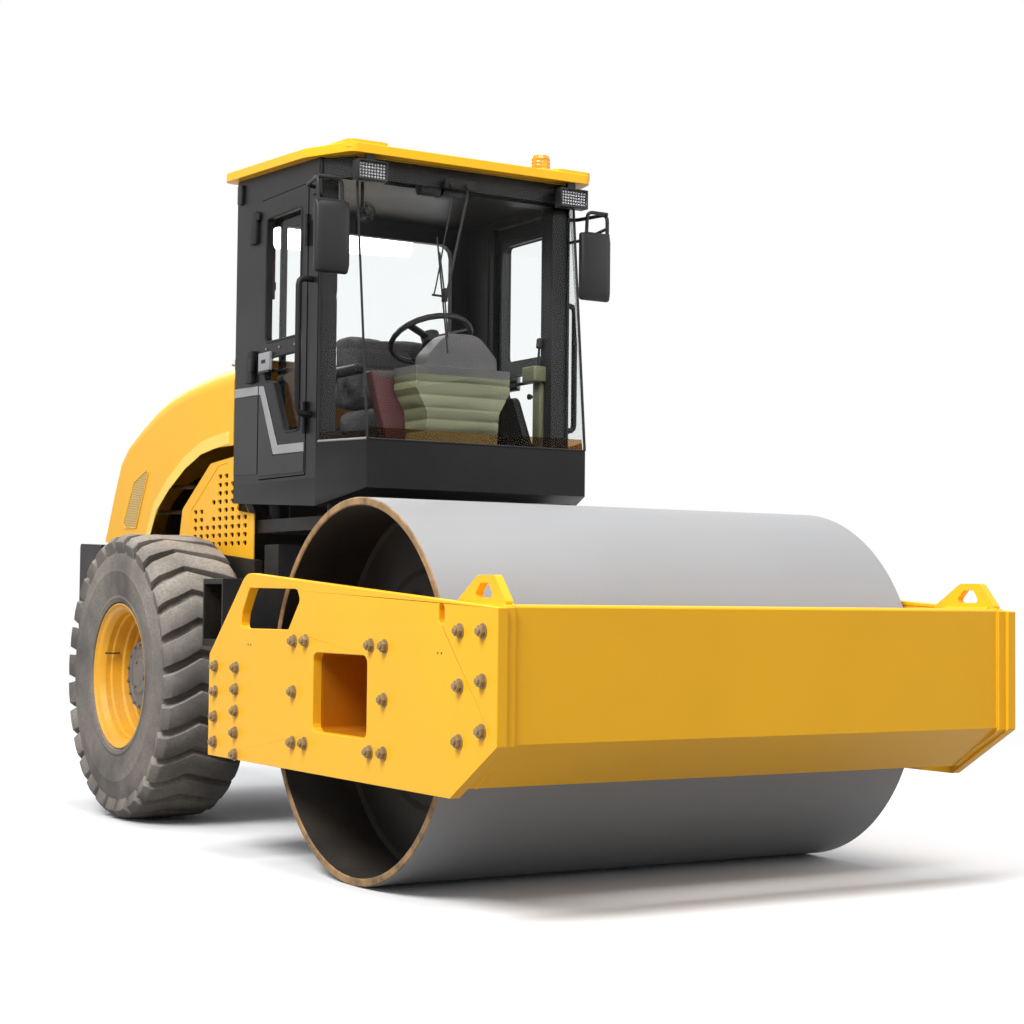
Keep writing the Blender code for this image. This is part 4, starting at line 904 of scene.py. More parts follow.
def makeSidePlate(word, side):
    values, node = boltSettings, "side_plate_" + word.lower()
    plate = bareCopy(node, "sidePlate" + word)
    bpy.ops.mesh.select_all(action="DESELECT")
    editEnd()
    # the frame's plain bolts come off and their places are closed
    for face in plate.data.polygons:
        face.select = any(abs(plate.data.vertices[v].co.x) > values["face"] + 0.004 for v in face.vertices)
    bpy.ops.object.mode_set(mode="EDIT")
    bpy.ops.mesh.delete(type="FACE")
    bpy.ops.mesh.select_mode(type="EDGE")
    bpy.ops.mesh.select_all(action="DESELECT")
    bpy.ops.mesh.select_non_manifold()
    bpy.ops.mesh.fill_holes(sides=12)
    bpy.ops.mesh.select_all(action="SELECT")
    bpy.ops.mesh.delete_loose()
    editEnd()
    faired(plate, 0.0035)
    dress(plate, "yellowPaint", "front_frame", (node,))

    # one bolt with its washer, then a copy for each hole
    face = side * values["face"]
    washer = drumOf("washer", values["washer"], 0.004, (face + side * 0.002, 0, 0), "X", 24)
    head = drumOf("head", values["head"], 0.015, (face + side * 0.0112, 0, 0), "X", 6)
    rounded(head, 0.0012, 2, 30, 30)
    stud = drumOf("stud", 0.0115, values["tip"] - values["face"] - 0.017,
                  (side * (values["face"] + values["tip"] + 0.017) / 2, 0, 0), "X", 16)
    rounded(stud, 0.0015, 2, 30, 40)
    bolt = joined("bolt", [washer, head, stud])
    bolts = []
    for y, low, high, count in values["columns"]:
        for row in range(count):
            z = low + (high - low) * row / (count - 1)
            turn = Matrix.Translation((0, back(y), z)) @ Matrix.Rotation(random.uniform(0, 1.0), 4, "X")
            bolts.append(copyTo(bolt, turn=turn))
    bpy.data.objects.remove(bolt, do_unlink=True)
    bolts = joined("plateBolts" + word, bolts)
    dress(bolts, "boltSteel", "front_frame")
    # thin dark discs where the pin holes are: painted shade of the holes
    pinHoleShades = [drumOf("pinHole", 0.0042, 0.0012, (face, back(y), z), "X", 12) for y, z in values["pinHoles"]]
    pinHoleShades = joined("pinHoles" + word, pinHoleShades)
    dress(pinHoleShades, "drumInside", "front_frame")


def makeBeamDetails():
    for word, side in sides:
        # weld seams where the beam meets its end plates
        x = side * 1.0742
        dress(pipe("beamSeam" + word,
                   [(x, back(-0.86), 1.0415), (x, back(-1.128), 1.0415), (x, back(-1.1335), 1.034),
                    (x, back(-1.1335), 0.594), (x, back(-0.907), 0.4345)], 0.0045, 2, 0.004), "yellowPaint",
              "front_frame")
        eyeWeld = pipe("eyeWeld" + word,
                       [(side * 1.067, back(-1.10), 1.043), (side * 1.067, back(-0.87), 1.043)], 0.006, 2)
        dress(eyeWeld, "yellowPaint", "front_frame")
        # a bolted cap on the carrier
        ring = drumOf("carrierCap" + word, 0.062, 0.006, (side * 0.879, back(0.0), 0.717), "X", 32)
        bolts = [ring] + ringOf("capBolt", 8, 0.11, 0.009, 0.012, (side * 0.884, drumY, drumZ))
        dress(joined("carrierCap" + word, bolts), "yellowPaint", "front_frame")


for word, side in sides:
    makeSidePlate(word, side)
makeBeamDetails()


print("front frame made")


# ---------- cab outside ----------
def facetPane(name, corners, thick, finish):
    # a flat pane from its four corners, with a little thickness
    clearSelection()
    bpy.ops.mesh.primitive_plane_add(size=1.0, location=(0, 0, 0))
    piece = bpy.context.object
    piece.name = name
    for vertex, corner in zip(piece.data.vertices, (corners[0], corners[1], corners[3], corners[2])):
        vertex.co = corner
    skin = piece.modifiers.new("thickness", "SOLIDIFY")
    skin.thickness = thick
    skin.offset = 0.0
    applyAll(piece)
    outward(piece)
    return dress(piece, finish)


cabSettings = dict(seal=0.0055, frontLow=(0.556, 0.9045, 1.738), frontTop=(0.562, 1.0335, 2.972),
                   lampRows=5, lampColumns=9)


def makeWindscreenTrim():
    x0, y0, z0 = cabSettings["frontLow"]
    x1, y1, z1 = cabSettings["frontTop"]
    for word, side in sides:
        seal = pipe("cornerSeal" + word, [(side * x0, back(y0), z0), (side * x1, back(y1), z1)],
                    cabSettings["seal"], 2)
        dress(seal, "sealRubber")
        dress(pipe("sideSeal" + word,
                   [(side * 0.648, back(1.192), z0 + 0.004), (side * 0.648, back(1.192), 2.976)], 0.007, 2),
              "sealRubber")
        dress(pipe("footSeal" + word,
                   [(side * 0.649, back(1.192), z0 + 0.001), (side * 0.555, back(0.909), z0 + 0.001)],
                   0.0055, 2), "greySeal")
        facetPane("tintSide" + word,
                  [(side * 0.640, back(1.186), 1.742), (side * 0.549, back(0.915), 1.742),
                   (side * 0.549, back(0.920), 1.775), (side * 0.640, back(1.186), 1.775)], 0.001,
                  "tintStrip")
    dress(pipe("footSealFront", [(-x0, back(y0 + 0.003), z0), (x0, back(y0 + 0.003), z0)], 0.0055, 2),
          "sealRubber")
    facetPane("tintFront",
              [(-0.548, back(0.916), 1.742), (0.548, back(0.916), 1.742), (0.548, back(0.922), 1.790),
               (-0.548, back(0.922), 1.790)], 0.001, "tintStrip")
    facetPane("headerBand",
              [(-0.556, back(1.0345), 2.885), (0.556, back(1.0345), 2.885), (0.556, back(1.0445), 2.975),
               (-0.556, back(1.0445), 2.975)], 0.002, "blackPaint")
    for word, side in sides:
        facetPane("headerSide" + word,
                  [(side * 0.560, back(1.036), 2.885), (side * 0.642, back(1.190), 2.885),
                   (side * 0.642, back(1.190), 2.980), (side * 0.560, back(1.046), 2.975)], 0.002,
                  "blackPaint")


def makeWiper():
    def spot(x, y, z, lift=0.0):
        return (x, back(y) - lift, z)
    parts = [
        pipe("arm", [spot(-0.02, 1.008, 2.900), spot(-0.02, 1.002, 2.857), spot(-0.149, 0.953, 2.392)],
             0.0062, 2, 0.01),
        pipe("armThin", [spot(-0.105, 1.004, 2.860), spot(-0.105, 0.997, 2.812), spot(-0.199, 0.958, 2.435),
                         spot(-0.213, 0.953, 2.390)], 0.0036, 2, 0.01),
        pipe("link", [spot(-0.222, 0.952, 2.388), spot(-0.142, 0.952, 2.386)], 0.005, 2),
        pipe("blade", [spot(-0.187, 0.972, 2.650, -0.004), spot(-0.171, 0.950, 2.39, -0.002),
                       spot(-0.155, 0.921, 2.134, -0.004)], 0.0042, 2),
        pipe("bladeSpine", [spot(-0.183, 0.966, 2.58, 0.008), spot(-0.171, 0.944, 2.39, 0.012),
                            spot(-0.160, 0.925, 2.20, 0.008)], 0.0035, 2),
        slab("blade", (-0.175, back(0.925), 2.36), (-0.158, back(0.955), 2.42)),
        slab("motorPlate", (-0.135, back(1.000), 2.880), (0.020, back(1.018), 2.925)),
        drumOf("pivot", 0.014, 0.03, (-0.02, back(0.998), 2.895), "Y", 20),
        drumOf("pivot", 0.011, 0.03, (-0.105, back(0.998), 2.895), "Y", 20),
    ]
    rounded(parts[5], 0.003, 2)
    rounded(parts[6], 0.004, 2)
    wiper = joined("wiper", parts)
    dress(wiper, "sealRubber")
    # its motor inside the header
    motor = joined("wiperMotor",
                   [slab("motor", (-0.10, back(1.07), 2.86), (0.0, back(1.16), 2.925)),
                    drumOf("can", 0.034, 0.10, (-0.16, back(1.11), 2.89), "X", 24)])
    dress(rounded(motor, 0.004, 2), "blackPlastic")


def makeLamp(word, side):
    low, high = (0.446, back(0.950), 2.857), (0.594, back(1.005), 2.945)
    body = sideSlab("workLamp" + word, side, low, high)
    # the front face is sunk for the reflector
    editStart(body)
    editEnd()
    for face in body.data.polygons:
        face.select = face.normal.y < -0.9
    bpy.ops.object.mode_set(mode="EDIT")
    bpy.ops.mesh.inset(thickness=0.007, depth=0.0)
    bpy.ops.mesh.inset(thickness=0.003, depth=-0.012)
    editEnd()
    rounded(body, 0.0025, 2, 40)
    stem = sideSlab("stem", side, (0.500, back(0.975), 2.943), (0.540, back(0.998), 2.9758))
    fins = [sideSlab("fin", side, (0.456 + 0.0125 * i, back(1.004), 2.864),
                     (0.460 + 0.0125 * i, back(1.012), 2.938)) for i in range(11)]
    body = joined("workLamp" + word, [body, stem] + fins)
    dress(body, "blackPlastic", standsFor=("work_lamp_" + word.lower(),))
    dress(sideSlab("lampMirror" + word, side, (0.455, back(0.9625), 2.866), (0.585, back(0.965), 2.936)),
          "lampWhite")
    cell = drumOf("cell", 0.0055, 0.004, (0, 0, 0), "Y", 12, tip=0.0035)
    cells = []
    for row in range(cabSettings["lampRows"]):
        for column in range(cabSettings["lampColumns"]):
            x = side * (0.4625 + 0.115 * column / (cabSettings["lampColumns"] - 1))
            z = 2.8745 + 0.053 * row / (cabSettings["lampRows"] - 1)
            cells.append(copyTo(cell, (x, back(0.9605), z)))
    bpy.data.objects.remove(cell, do_unlink=True)
    cells = joined("lampCells" + word, cells)
    dress(cells, "lampCell")
    dress(sideSlab("lampGlass" + word, side, (0.4545, back(0.953), 2.8655), (0.5855, back(0.9555), 2.9365)),
          "lampLens")


def makeMirror(word, side):
    shell = sideSlab("mirrorShell", side, (0.598, back(0.995), 2.45), (0.762, back(1.040), 2.765))
    # a shallow crown on its back, as moulded
    for z in (2.49, 2.725):
        sliced(shell, (0, 0, z), (0, 0, 1))
    for x in (0.63, 0.73):
        sliced(shell, (side * x, 0, 0), (1, 0, 0))
    shift(shell, lambda c: c.z > 2.76 or c.z < 2.455, (0, 0, 0))
    shift(shell, lambda c: c.y < back(0.996) and (c.z > 2.76 or c.z < 2.455), (0, 0.016, 0))
    shift(shell, lambda c: c.y < back(0.996) and (abs(c.x) > 0.755 or abs(c.x) < 0.605), (0, 0.010, 0))
    shift(shell, lambda c: c.z < 2.455 and abs(c.x) < 0.64, (side * 0.004, 0, 0))
    rounded(shell, 0.012, 3, 30, 40)
    arm = pipe("arm",
               [(side * 0.6556, back(1.23), 2.860), (side * 0.705, back(1.22), 2.862),
                (side * 0.748, back(1.02), 2.862), (side * 0.748, back(1.02), 2.74)], 0.009, 3, 0.035)
    low = pipe("armLow",
               [(side * 0.6556, back(1.23), 2.745), (side * 0.665, back(1.10), 2.745),
                (side * 0.748, back(1.02), 2.795)], 0.0075, 3, 0.02)
    loop = pipe("armLoop",
                [(side * 0.748, back(1.02), 2.862), (side * 0.636, back(1.02), 2.862),
                 (side * 0.632, back(1.02), 2.75)], 0.0085, 3, 0.03)
    clamp = sideSlab("clamp", side, (0.62, back(1.008), 2.735), (0.756, back(1.034), 2.768))
    rounded(clamp, 0.004, 2)
    foot1 = sideSlab("foot", side, (0.6553, back(1.205), 2.83), (0.664, back(1.255), 2.89))
    foot2 = sideSlab("foot", side, (0.6553, back(1.205), 2.715), (0.664, back(1.255), 2.775))
    mirror = joined("mirror" + word, [shell, arm, low, loop, clamp, foot1, foot2])
    dress(mirror, "blackPlastic", standsFor=("mirror_" + word.lower(),))
    dress(rounded(sideSlab("mirrorGlass" + word, side, (0.612, back(1.0395), 2.468),
                           (0.748, back(1.0415), 2.748)), 0.0008, 2), "chromeRod")


def makeBeacon():
    y, base = back(1.17), 3.0455
    dress(rounded(lathe("beaconFoot",
                        [(0.0, 0.0), (0.0545, 0.0), (0.0545, 0.012), (0.047, 0.019), (0.0, 0.019)],
                        (0.47, y, base), "Z", 40, closed=False), 0.001, 2, 30), "amberFoot",
          standsFor=("beacon",))
    dress(rounded(lathe("beaconLens",
                        [(0.0, 0.019), (0.044, 0.0192), (0.045, 0.030), (0.0465, 0.032), (0.045, 0.034),
                         (0.0445, 0.046), (0.046, 0.048), (0.0445, 0.050), (0.044, 0.064), (0.0455, 0.066),
                         (0.044, 0.068), (0.043, 0.076), (0.037, 0.0838), (0.0, 0.0842)], (0.47, y, base),
                        "Z", 40, closed=False), 0.0, 0, smooth=50), "amberLens")


doorSettings = dict(face=0.6584,
                    stripeRear=((2.075, 2.040), (1.812, 2.033), (1.812, 1.993), (2.075, 1.998)),
                    stripeDoor=((1.792, 2.031), (1.745, 2.027), (1.588, 1.746), (1.312, 1.742),
                                (1.312, 1.702), (1.628, 1.706), (1.776, 1.990), (1.792, 1.991)),
                    panelRear=((2.075, 1.993), (1.812, 1.988), (1.812, 1.625), (2.075, 1.632)),
                    panelDoor=((1.792, 1.986), (1.776, 1.984), (1.632, 1.698), (1.312, 1.697),
                               (1.312, 1.612), (1.792, 1.616)))


def makeDoorTrim(word, side):
    values = doorSettings
    face = values["face"]

    def patch(name, outline, lift, body, finish, start=0.0):
        low, high = sorted((side * (face + start - 0.0006), side * (face + lift)))
        piece = poly(name, [(back(y), z) for y, z in outline], "YZ", low, high)
        faired(piece, 0.001)
        return dress(piece, finish, body)

    door, cab = "door_" + word.lower(), "rear_frame"
    rearFace = -0.0034
    patch("stripeRear" + word, values["stripeRear"], rearFace + 0.0036, cab, "silverTrim", start=rearFace)
    patch("stripeDoor" + word, values["stripeDoor"], 0.003, door, "silverTrim")
    patch("panelRear" + word, values["panelRear"], rearFace + 0.0032, cab, "greyPanel", start=rearFace)
    patch("panelDoor" + word, values["panelDoor"], 0.0026, door, "greyPanel")
    # lock plate, its slot, the latch and the stay bracket
    dress(rounded(sideSlab("lockPlate" + word, side, (face - 0.0004, back(1.655), 2.094),
                           (face + 0.0188, back(1.770), 2.178)), 0.004, 3), "silverTrim", door)
    slot = sideSlab("lockSlot" + word, side, (face + 0.0182, back(1.690), 2.128),
                    (face + 0.0196, back(1.735), 2.145))
    dress(slot, "sealRubber", door)
    latch = joined("latch" + word,
                   [sideSlab("a", side, (face - 0.0034, back(1.842), 2.052),
                             (face + 0.020, back(1.925), 2.20)),
                    sideSlab("b", side, (face + 0.01, back(1.825), 2.10),
                             (face + 0.028, back(1.86), 2.16))])
    dress(rounded(latch, 0.004, 2), "sealRubber", cab)
    dress(rounded(joined("stayBracket" + word,
                         [sideSlab("a", side, (face - 0.0034, back(1.825), 2.70),
                                   (face + 0.016, back(1.90), 2.85)),
                          sideSlab("b", side, (face + 0.004, back(1.80), 2.805),
                                   (face + 0.014, back(1.84), 2.84))]), 0.004, 2), "sealRubber", cab)
    dress(rounded(sideSlab("cornerBox" + word, side, (face - 0.0034, back(2.005), 2.915),
                           (face + 0.012, back(2.055), 3.005)), 0.004, 2), "blackPlastic", cab)
    lever = joined("lever" + word,
                   [pipe("a",
                         [(side * 0.64, back(2.075), 2.155), (side * 0.645, back(2.112), 2.160),
                          (side * 0.655, back(2.118), 2.163)], 0.006, 2, 0.01),
                    sideSlab("b", side, (0.625, back(2.079), 2.135), (0.650, back(2.098), 2.185))])
    dress(lever, "boltSteel", cab, slot="chrome_rod")
    # seals round the glass, rivets below it and a wing knob
    for name, outline in (("Upper", ((1.365, 2.225), (1.735, 2.225), (1.735, 2.80), (1.365, 2.80))),
                          ("Lower",
                           ((1.365, 1.80), (1.520, 1.80), (1.650, 2.045), (1.735, 2.045), (1.735, 2.155),
                            (1.365, 2.155)))):
        points = [(side * (face - 0.0005), back(y), z) for y, z in outline]
        mid = tuple((a + b) / 2 for a, b in zip(points[0], points[-1]))
        dress(pipe("doorSeal" + name + word, [mid] + points + [mid], 0.0055, 2, 0.03), "sealRubber", door)
    rivets = [drumOf("rivet", 0.0055, 0.005, (side * (face + 0.001), back(y), z), "X", 12, tip=0.003) for y,
              z in ((1.72, 2.196), (1.58, 2.192), (1.42, 2.188), (1.62, 1.80))]
    rivets = joined("rivets" + word, rivets)
    dress(rivets, "silverTrim", door)
    knob = joined("wingKnob" + word,
                  [drumOf("k", 0.014, 0.012, (side * (face + 0.003), back(1.550), 2.045), "X", 20),
                   drumOf("k", 0.009, 0.018, (side * (face + 0.009), back(1.550), 2.045), "X", 16)])
    rounded(knob, 0.001, 2)
    # the knob is on the glass
    dress(knob, "sealRubber", door)
    # inner pull bar that shows through the lower glass
    dress(pipe("pullBar" + word,
               [(side * 0.6245, back(1.38), 2.10), (side * 0.590, back(1.38), 2.10),
                (side * 0.590, back(1.72), 2.10), (side * 0.6245, back(1.72), 2.10)], 0.008, 3, 0.02),
          "blackPlastic", door)


makeWindscreenTrim()
makeWiper()
makeBeacon()
for word, side in sides:
    makeLamp(word, side)
    makeMirror(word, side)
    makeDoorTrim(word, side)
print("cab outside made")


# ---------- hood and engine bay ----------
hoodSettings = dict(flangeUp=((2.168, 1.850), (2.360, 1.838), (2.524, 1.819), (2.736, 1.756),
                              (2.954, 1.656), (3.133, 1.542), (3.253, 1.354)),
                    flangeDown=((3.196, 1.340), (3.088, 1.502), (2.922, 1.603), (2.712, 1.698),
                                (2.512, 1.758), (2.352, 1.776), (2.168, 1.788)),
                    vent=((3.223, 1.721), (3.412, 1.663), (3.562, 1.445), (3.536, 1.422), (3.376, 1.418),
                          (3.210, 1.703)),
                    panelRows=(tuple(range(9)), tuple(range(9)), tuple(range(9)), (0, 1, 3, 4, 5, 6, 7, 8),
                               (0, 1, 4, 5, 6, 7, 8), (3, 4, 5, 6, 7), (4, 5, 6, 7), (4, 5, 6), (4, 5)),
                    firstHole=(2.654, 1.315), pitch=(0.0757, 0.041), slot=(0.044, 0.022),
                    border=((2.732, 1.294), (2.708, 1.491), (2.370, 1.697), (2.245, 1.708), (2.004, 1.455),
                            (2.012, 1.290)))


def slotOutline(y, z, wide, tall):
    r, steps = tall / 2, 6
    points = []
    for end, start in ((1, -math.pi / 2), (-1, math.pi / 2)):
        for step in range(steps + 1):
            a = start + math.pi * step / steps
            points.append((y + end * (wide / 2 - r) + r * math.cos(a), z + r * math.sin(a)))
    return points


def makeHoodSide(word, side):
    values = hoodSettings
    low, high = sorted((side * 0.6396, side * 0.6425))
    flange = poly("archFlange" + word, [(back(y), z) for y, z in values["flangeUp"] + values["flangeDown"]],
                  "YZ", low, high)
    faired(flange, 0.0012)
    dress(flange, "yellowPale", "hood")
    vent = poly("ventMesh" + word, [(back(y), z) for y, z in values["vent"]], "YZ", low, high)
    faired(vent, 0.001)
    dress(vent, "ventMesh", "hood")
    rim = [(side * 0.6425, back(y), z) for y, z in values["vent"]]
    mid = tuple((a + b) / 2 for a, b in zip(rim[0], rim[-1]))
    dress(pipe("ventFrame" + word, [mid] + rim + [mid], 0.003, 2, 0.01), "yellowPaint", "hood")

    # slotted holes go right through the lower side panel
    panel = skins["side_panel_" + word.lower()]
    tools = []
    for row, columns in enumerate(values["panelRows"]):
        for column in columns:
            y = back(values["firstHole"][0] - column * values["pitch"][0])
            z = values["firstHole"][1] + row * values["pitch"][1]
            a, b = sorted((side * 0.585, side * 0.620))
            tools.append(poly("slot", slotOutline(y, z, *values["slot"]), "YZ", a, b))
    cutWith(panel, joined("slots", tools))
    only(panel)
    bpy.ops.object.shade_smooth_by_angle(angle=math.radians(30))
    dress(pipe("panelBend" + word, [(side * 0.606, back(y), z) for y, z in values["border"]], 0.0025, 2,
               0.012), "yellowPaint")
    # stay rails seen through the arch
    for name, a, b, r in (("railHigh", (3.296, 1.637), (2.932, 1.622), 0.011),
                          ("railLow", (3.408, 1.507), (3.105, 1.498), 0.011)):
        dress(pipe(name + word, [(side * 0.50, back(a[0]), a[1]), (side * 0.50, back(b[0]), b[1])], r, 3),
              "boltSteel")
    # a dark sheet just inside the slotted panel: painted shade seen through the slots
    a, b = sorted((side * 0.568, side * 0.572))
    dress(poly("panelShade" + word, [(back(y), z) for y, z in values["border"]], "YZ", a, b), "drumInside",
          slot="black_paint")


def makeEngineBay():
    parts = [
        drumOf("airCleaner", 0.11, 0.42, (0.0, back(3.02), 1.70), "X", 32),
        drumOf("airCap", 0.118, 0.03, (0.20, back(3.02), 1.70), "X", 32),
        drumOf("airCap", 0.118, 0.03, (-0.20, back(3.02), 1.70), "X", 32),
        slab("valveCover", (-0.16, back(2.78), 1.60), (0.16, back(3.44), 1.70)),
        pipe("intake", [(0.0, back(2.90), 1.66), (0.24, back(2.84), 1.66), (0.30, back(2.84), 1.40)], 0.035,
             3, 0.06),
        drumOf("muffler", 0.085, 0.5, (0.10, back(2.55), 1.78), "Y", 32),
        pipe("fuelLine", [(-0.302, back(2.9), 1.35), (-0.36, back(3.0), 1.45), (-0.36, back(3.3), 1.45),
                          (-0.302, back(3.35), 1.30)], 0.012, 3, 0.05),
        pipe("fuelLine", [(0.302, back(2.9), 1.35), (0.36, back(3.0), 1.45), (0.36, back(3.3), 1.45),
                          (0.302, back(3.35), 1.30)], 0.012, 3, 0.05),
    ]
    dress(rounded(joined("engineParts", parts), 0.003, 2, 40), "darkSteel")
    dress(rounded(drumOf("fanShroud", 0.36, 0.10, (0.0, back(3.62), 1.40), "Y", 48), 0.004, 2),
          "frameBlack")


for word, side in sides:
    makeHoodSide(word, side)
makeEngineBay()
print("hood made")


# ---------- inside the cab ----------
cushionSettings = dict(inset=0.013, corner=0.030, voxel=0.006, pressure=4.0, frames=20, cap=0.012,
                       channel=0.007, width=0.008)


def makeCushion(name, node, low, high, channels, across):
    # a stuffed cushion: swollen by cloth pressure, then its sewn channels drawn in
    values = cushionSettings
    pad = slab(name, [a + values["inset"] for a in low], [b - values["inset"] for b in high])
    rounded(pad, values["corner"], 4, 30)
    skin = pad.modifiers.new("even", "REMESH")
    skin.mode = "VOXEL"
    skin.voxel_size = values["voxel"]
    applyAll(pad)
    home = [vertex.co.copy() for vertex in pad.data.vertices]
    cloth = pad.modifiers.new("swell", "CLOTH")
    cloth.settings.use_pressure = True
    cloth.settings.uniform_pressure_force = values["pressure"]
    cloth.settings.effector_weights.gravity = 0.0
    for step in range(1, values["frames"] + 1):
        bpy.context.scene.frame_set(step)
    applyAll(pad)
    bpy.context.scene.frame_set(1)
    middle = [(a + b) / 2 for a, b in zip(low, high)]
    for vertex, start in zip(pad.data.vertices, home):
        move = vertex.co - start
        if move.length > values["cap"]:
            vertex.co = start + move.normalized() * values["cap"]
        # it is flat where it rests, and stays in its own space
        for i in range(3):
            vertex.co[i] = min(max(vertex.co[i], low[i] + 0.001), high[i] - 0.001)
        facing = vertex.co[across] - middle[across]
        toward = 1.0 if across == 2 else -1.0
        if facing * toward > 0:
            for axis, spot in channels:
                gap = (vertex.co[axis] - spot) / values["width"]
                vertex.co[across] -= toward * values["channel"] * math.exp(-gap * gap)
    even = pad.modifiers.new("settle", "SMOOTH")
    even.factor = 0.5
    even.iterations = 3
    applyAll(pad)
    only(pad)
    bpy.ops.object.shade_smooth()
    return dress(pad, "seatCloth", standsFor=(node,))


consoleSettings = dict(middle=(0.065, -0.32), grooves=(1.810, 1.862, 1.914, 1.971, 2.031), depth=0.006,
                       half=0.004, dash=2.062)


def makeConsole():
    values = consoleSettings
    console = skins["console"]
    for z in values["grooves"]:
        for step in (-1, 0, 1):
            sliced(console, (0, 0, z + step * values["half"]), (0, 0, 1))
    cx, cy = values["middle"]
    for vertex in console.data.vertices:
        if any(abs(vertex.co.z - z) < 0.0006 for z in values["grooves"]):
            away = Vector((vertex.co.x - cx, vertex.co.y - cy, 0))
            if away.length > 0.03:
                vertex.co -= away.normalized() * values["depth"]
    sliced(console, (0, 0, values["dash"]), (0, 0, 1))
    console.data.materials.append(finishes["dashGrey"])
    for face in console.data.polygons:
        face.material_index = 1 if face.center.z > values["dash"] else 0
    only(console)
    bpy.ops.object.shade_smooth_by_angle(angle=math.radians(35))
    # dials on the driver's side of the dash
    dials = []
    for x, z, r in ((-0.10, 2.185, 0.030), (-0.02, 2.195, 0.030), (0.06, 2.190, 0.022),
                    (0.12, 2.185, 0.018)):
        dials.append(drumOf("dial", r, 0.005, (x, -0.2135, z), "Y", 24))
    dials = joined("dials", dials)
    dress(dials, "blackPlastic")


def makeFan():
    x, y, z = -0.457, back(1.14), 2.757
    parts = []
    for r, along in ((0.045, 0.0), (0.040, -0.012), (0.028, -0.019), (0.040, 0.012), (0.028, 0.019)):
        ring = [(x + r * math.cos(math.tau * i / 24), y + along,
                 z + r * math.sin(math.tau * i / 24)) for i in range(25)]
        parts.append(pipe("ring", ring, 0.0016, 1))
    parts.append(drumOf("core", 0.013, 0.042, (x, y, z), "Y", 20))
    parts.append(drumOf("motor", 0.020, 0.035, (x, y + 0.035, z), "Y", 20))
    parts.append(pipe("stand", [(x, y + 0.035, z), (x, y + 0.035, 2.86), (x, y + 0.035, 2.965)], 0.008, 2))
    for index in range(4):
        a = math.tau * index / 4
        blade = slab("blade", (-0.004, -0.002, 0.008), (0.018, 0.002, 0.038))
        turn = Matrix.Translation((x, y, z)) @ Matrix.Rotation(a, 4, "Y") @ Matrix.Rotation(0.5, 4, "Z")
        parts.append(copyTo(blade, turn=turn))
        bpy.data.objects.remove(blade, do_unlink=True)
    dress(joined("cabFan", parts), "sealRubber")


def makeFittings():
    dress(rounded(poly("toolBox", [(-0.222, 1.738), (0.036, 1.738), (-0.035, 2.085), (-0.315, 2.085)], "XZ",
                       -0.206, -0.140), 0.008, 3), "maroonBox")
    dress(rounded(slab("toolBoxBand", (-0.290, -0.2075, 2.060), (-0.080, -0.1385, 2.087)), 0.002, 2),
          "dashGrey")
    box1 = slab("sideConsole", (0.494, -0.300, 2.083), (0.612, -0.190, 2.158))
    post = slab("sidePost", (0.541, -0.280, 1.7355), (0.612, -0.210, 2.0835))
    knob = pipe("leverRod", [(0.55, -0.245, 2.155), (0.55, -0.255, 2.255)], 0.006, 2)
    grip = drumOf("leverGrip", 0.017, 0.05, (0.55, -0.256, 2.27), "Z", 20, tip=0.013)
    for piece in (box1, post, grip):
        rounded(piece, 0.008, 3)
    dress(joined("sideConsole", [box1, post]), "olivePlastic")
    dress(joined("travelLever", [knob, grip]), "blackPlastic")
    dress(rounded(lathe("cylinderBottle",
                        [(0.0, 0.0), (0.0175, 0.0), (0.0175, 0.235), (0.010, 0.255), (0.008, 0.265),
                         (0.0, 0.265)], (-0.5135, 0.444, 2.473), "Z", 24, closed=False), 0.001, 2, 30),
          "maroonBox")
    dress(rounded(slab("bottleHolder", (-0.545, 0.462, 2.52), (-0.480, 0.534, 2.56)), 0.003, 2),
          "blackPlastic")
    dress(rounded(slab("rearMullion", (-0.430, 0.505, 1.848), (-0.402, 0.5335, 2.872)), 0.003, 2),
          "blackPaint")
    bar = joined("beltBar",
                 [pipe("bar", [(0.600, 0.300, 2.18), (0.600, 0.300, 2.873)], 0.009, 3),
                  slab("beltAnchor", (0.598, 0.300, 2.68), (0.612, 0.350, 2.88))])
    dress(bar, "sealRubber")
    # seat rails and arm rests
    dress(joined("seatRails",
                 [slab("rail", (-0.150, 0.02, 1.812), (-0.120, 0.40, 1.8195)),
                  slab("rail", (0.200, 0.02, 1.812), (0.230, 0.40, 1.8195))]), "boltSteel")
    for word, x in (("Right", -0.252), ("Left", 0.332)):
        rest = slab("armRest" + word, (x - 0.030, 0.02, 2.098), (x + 0.030, 0.30, 2.145))
        rounded(rest, 0.018, 4)
        arm = pipe("armStay", [(x, 0.28, 2.10), (x, 0.33, 2.02), (x, 0.33, 1.90)], 0.012, 3, 0.03)
        foot = slab("armFoot", (min(x, 0.04 + 0.17 * (1 if x > 0 else -1)), 0.31, 1.79),
                    (max(x, 0.04 + 0.17 * (1 if x > 0 else -1)), 0.35, 1.815))
        rounded(foot, 0.004, 2)
        post = pipe("armPost", [(x, 0.33, 1.91), (x, 0.33, 1.80)], 0.012, 3)
        rest = joined("armRest" + word, [rest, arm, foot, post])
        dress(rest, "blackPlastic")


makeCushion("seatCushion", "seat_cushion", (-0.210, -0.086, 1.820), (0.290, 0.394, 1.950),
            ((1, 0.04), (1, 0.17), (1, 0.29), (0, -0.11), (0, 0.19)), 2)
makeCushion("seatBack", "seat_back", (-0.210, 0.274, 1.951), (0.290, 0.444, 2.324),
            ((2, 2.06), (2, 2.16), (2, 2.25), (0, -0.11), (0, 0.19)), 1)
makeConsole()
makeFan()
makeFittings()
print("cab inside made")


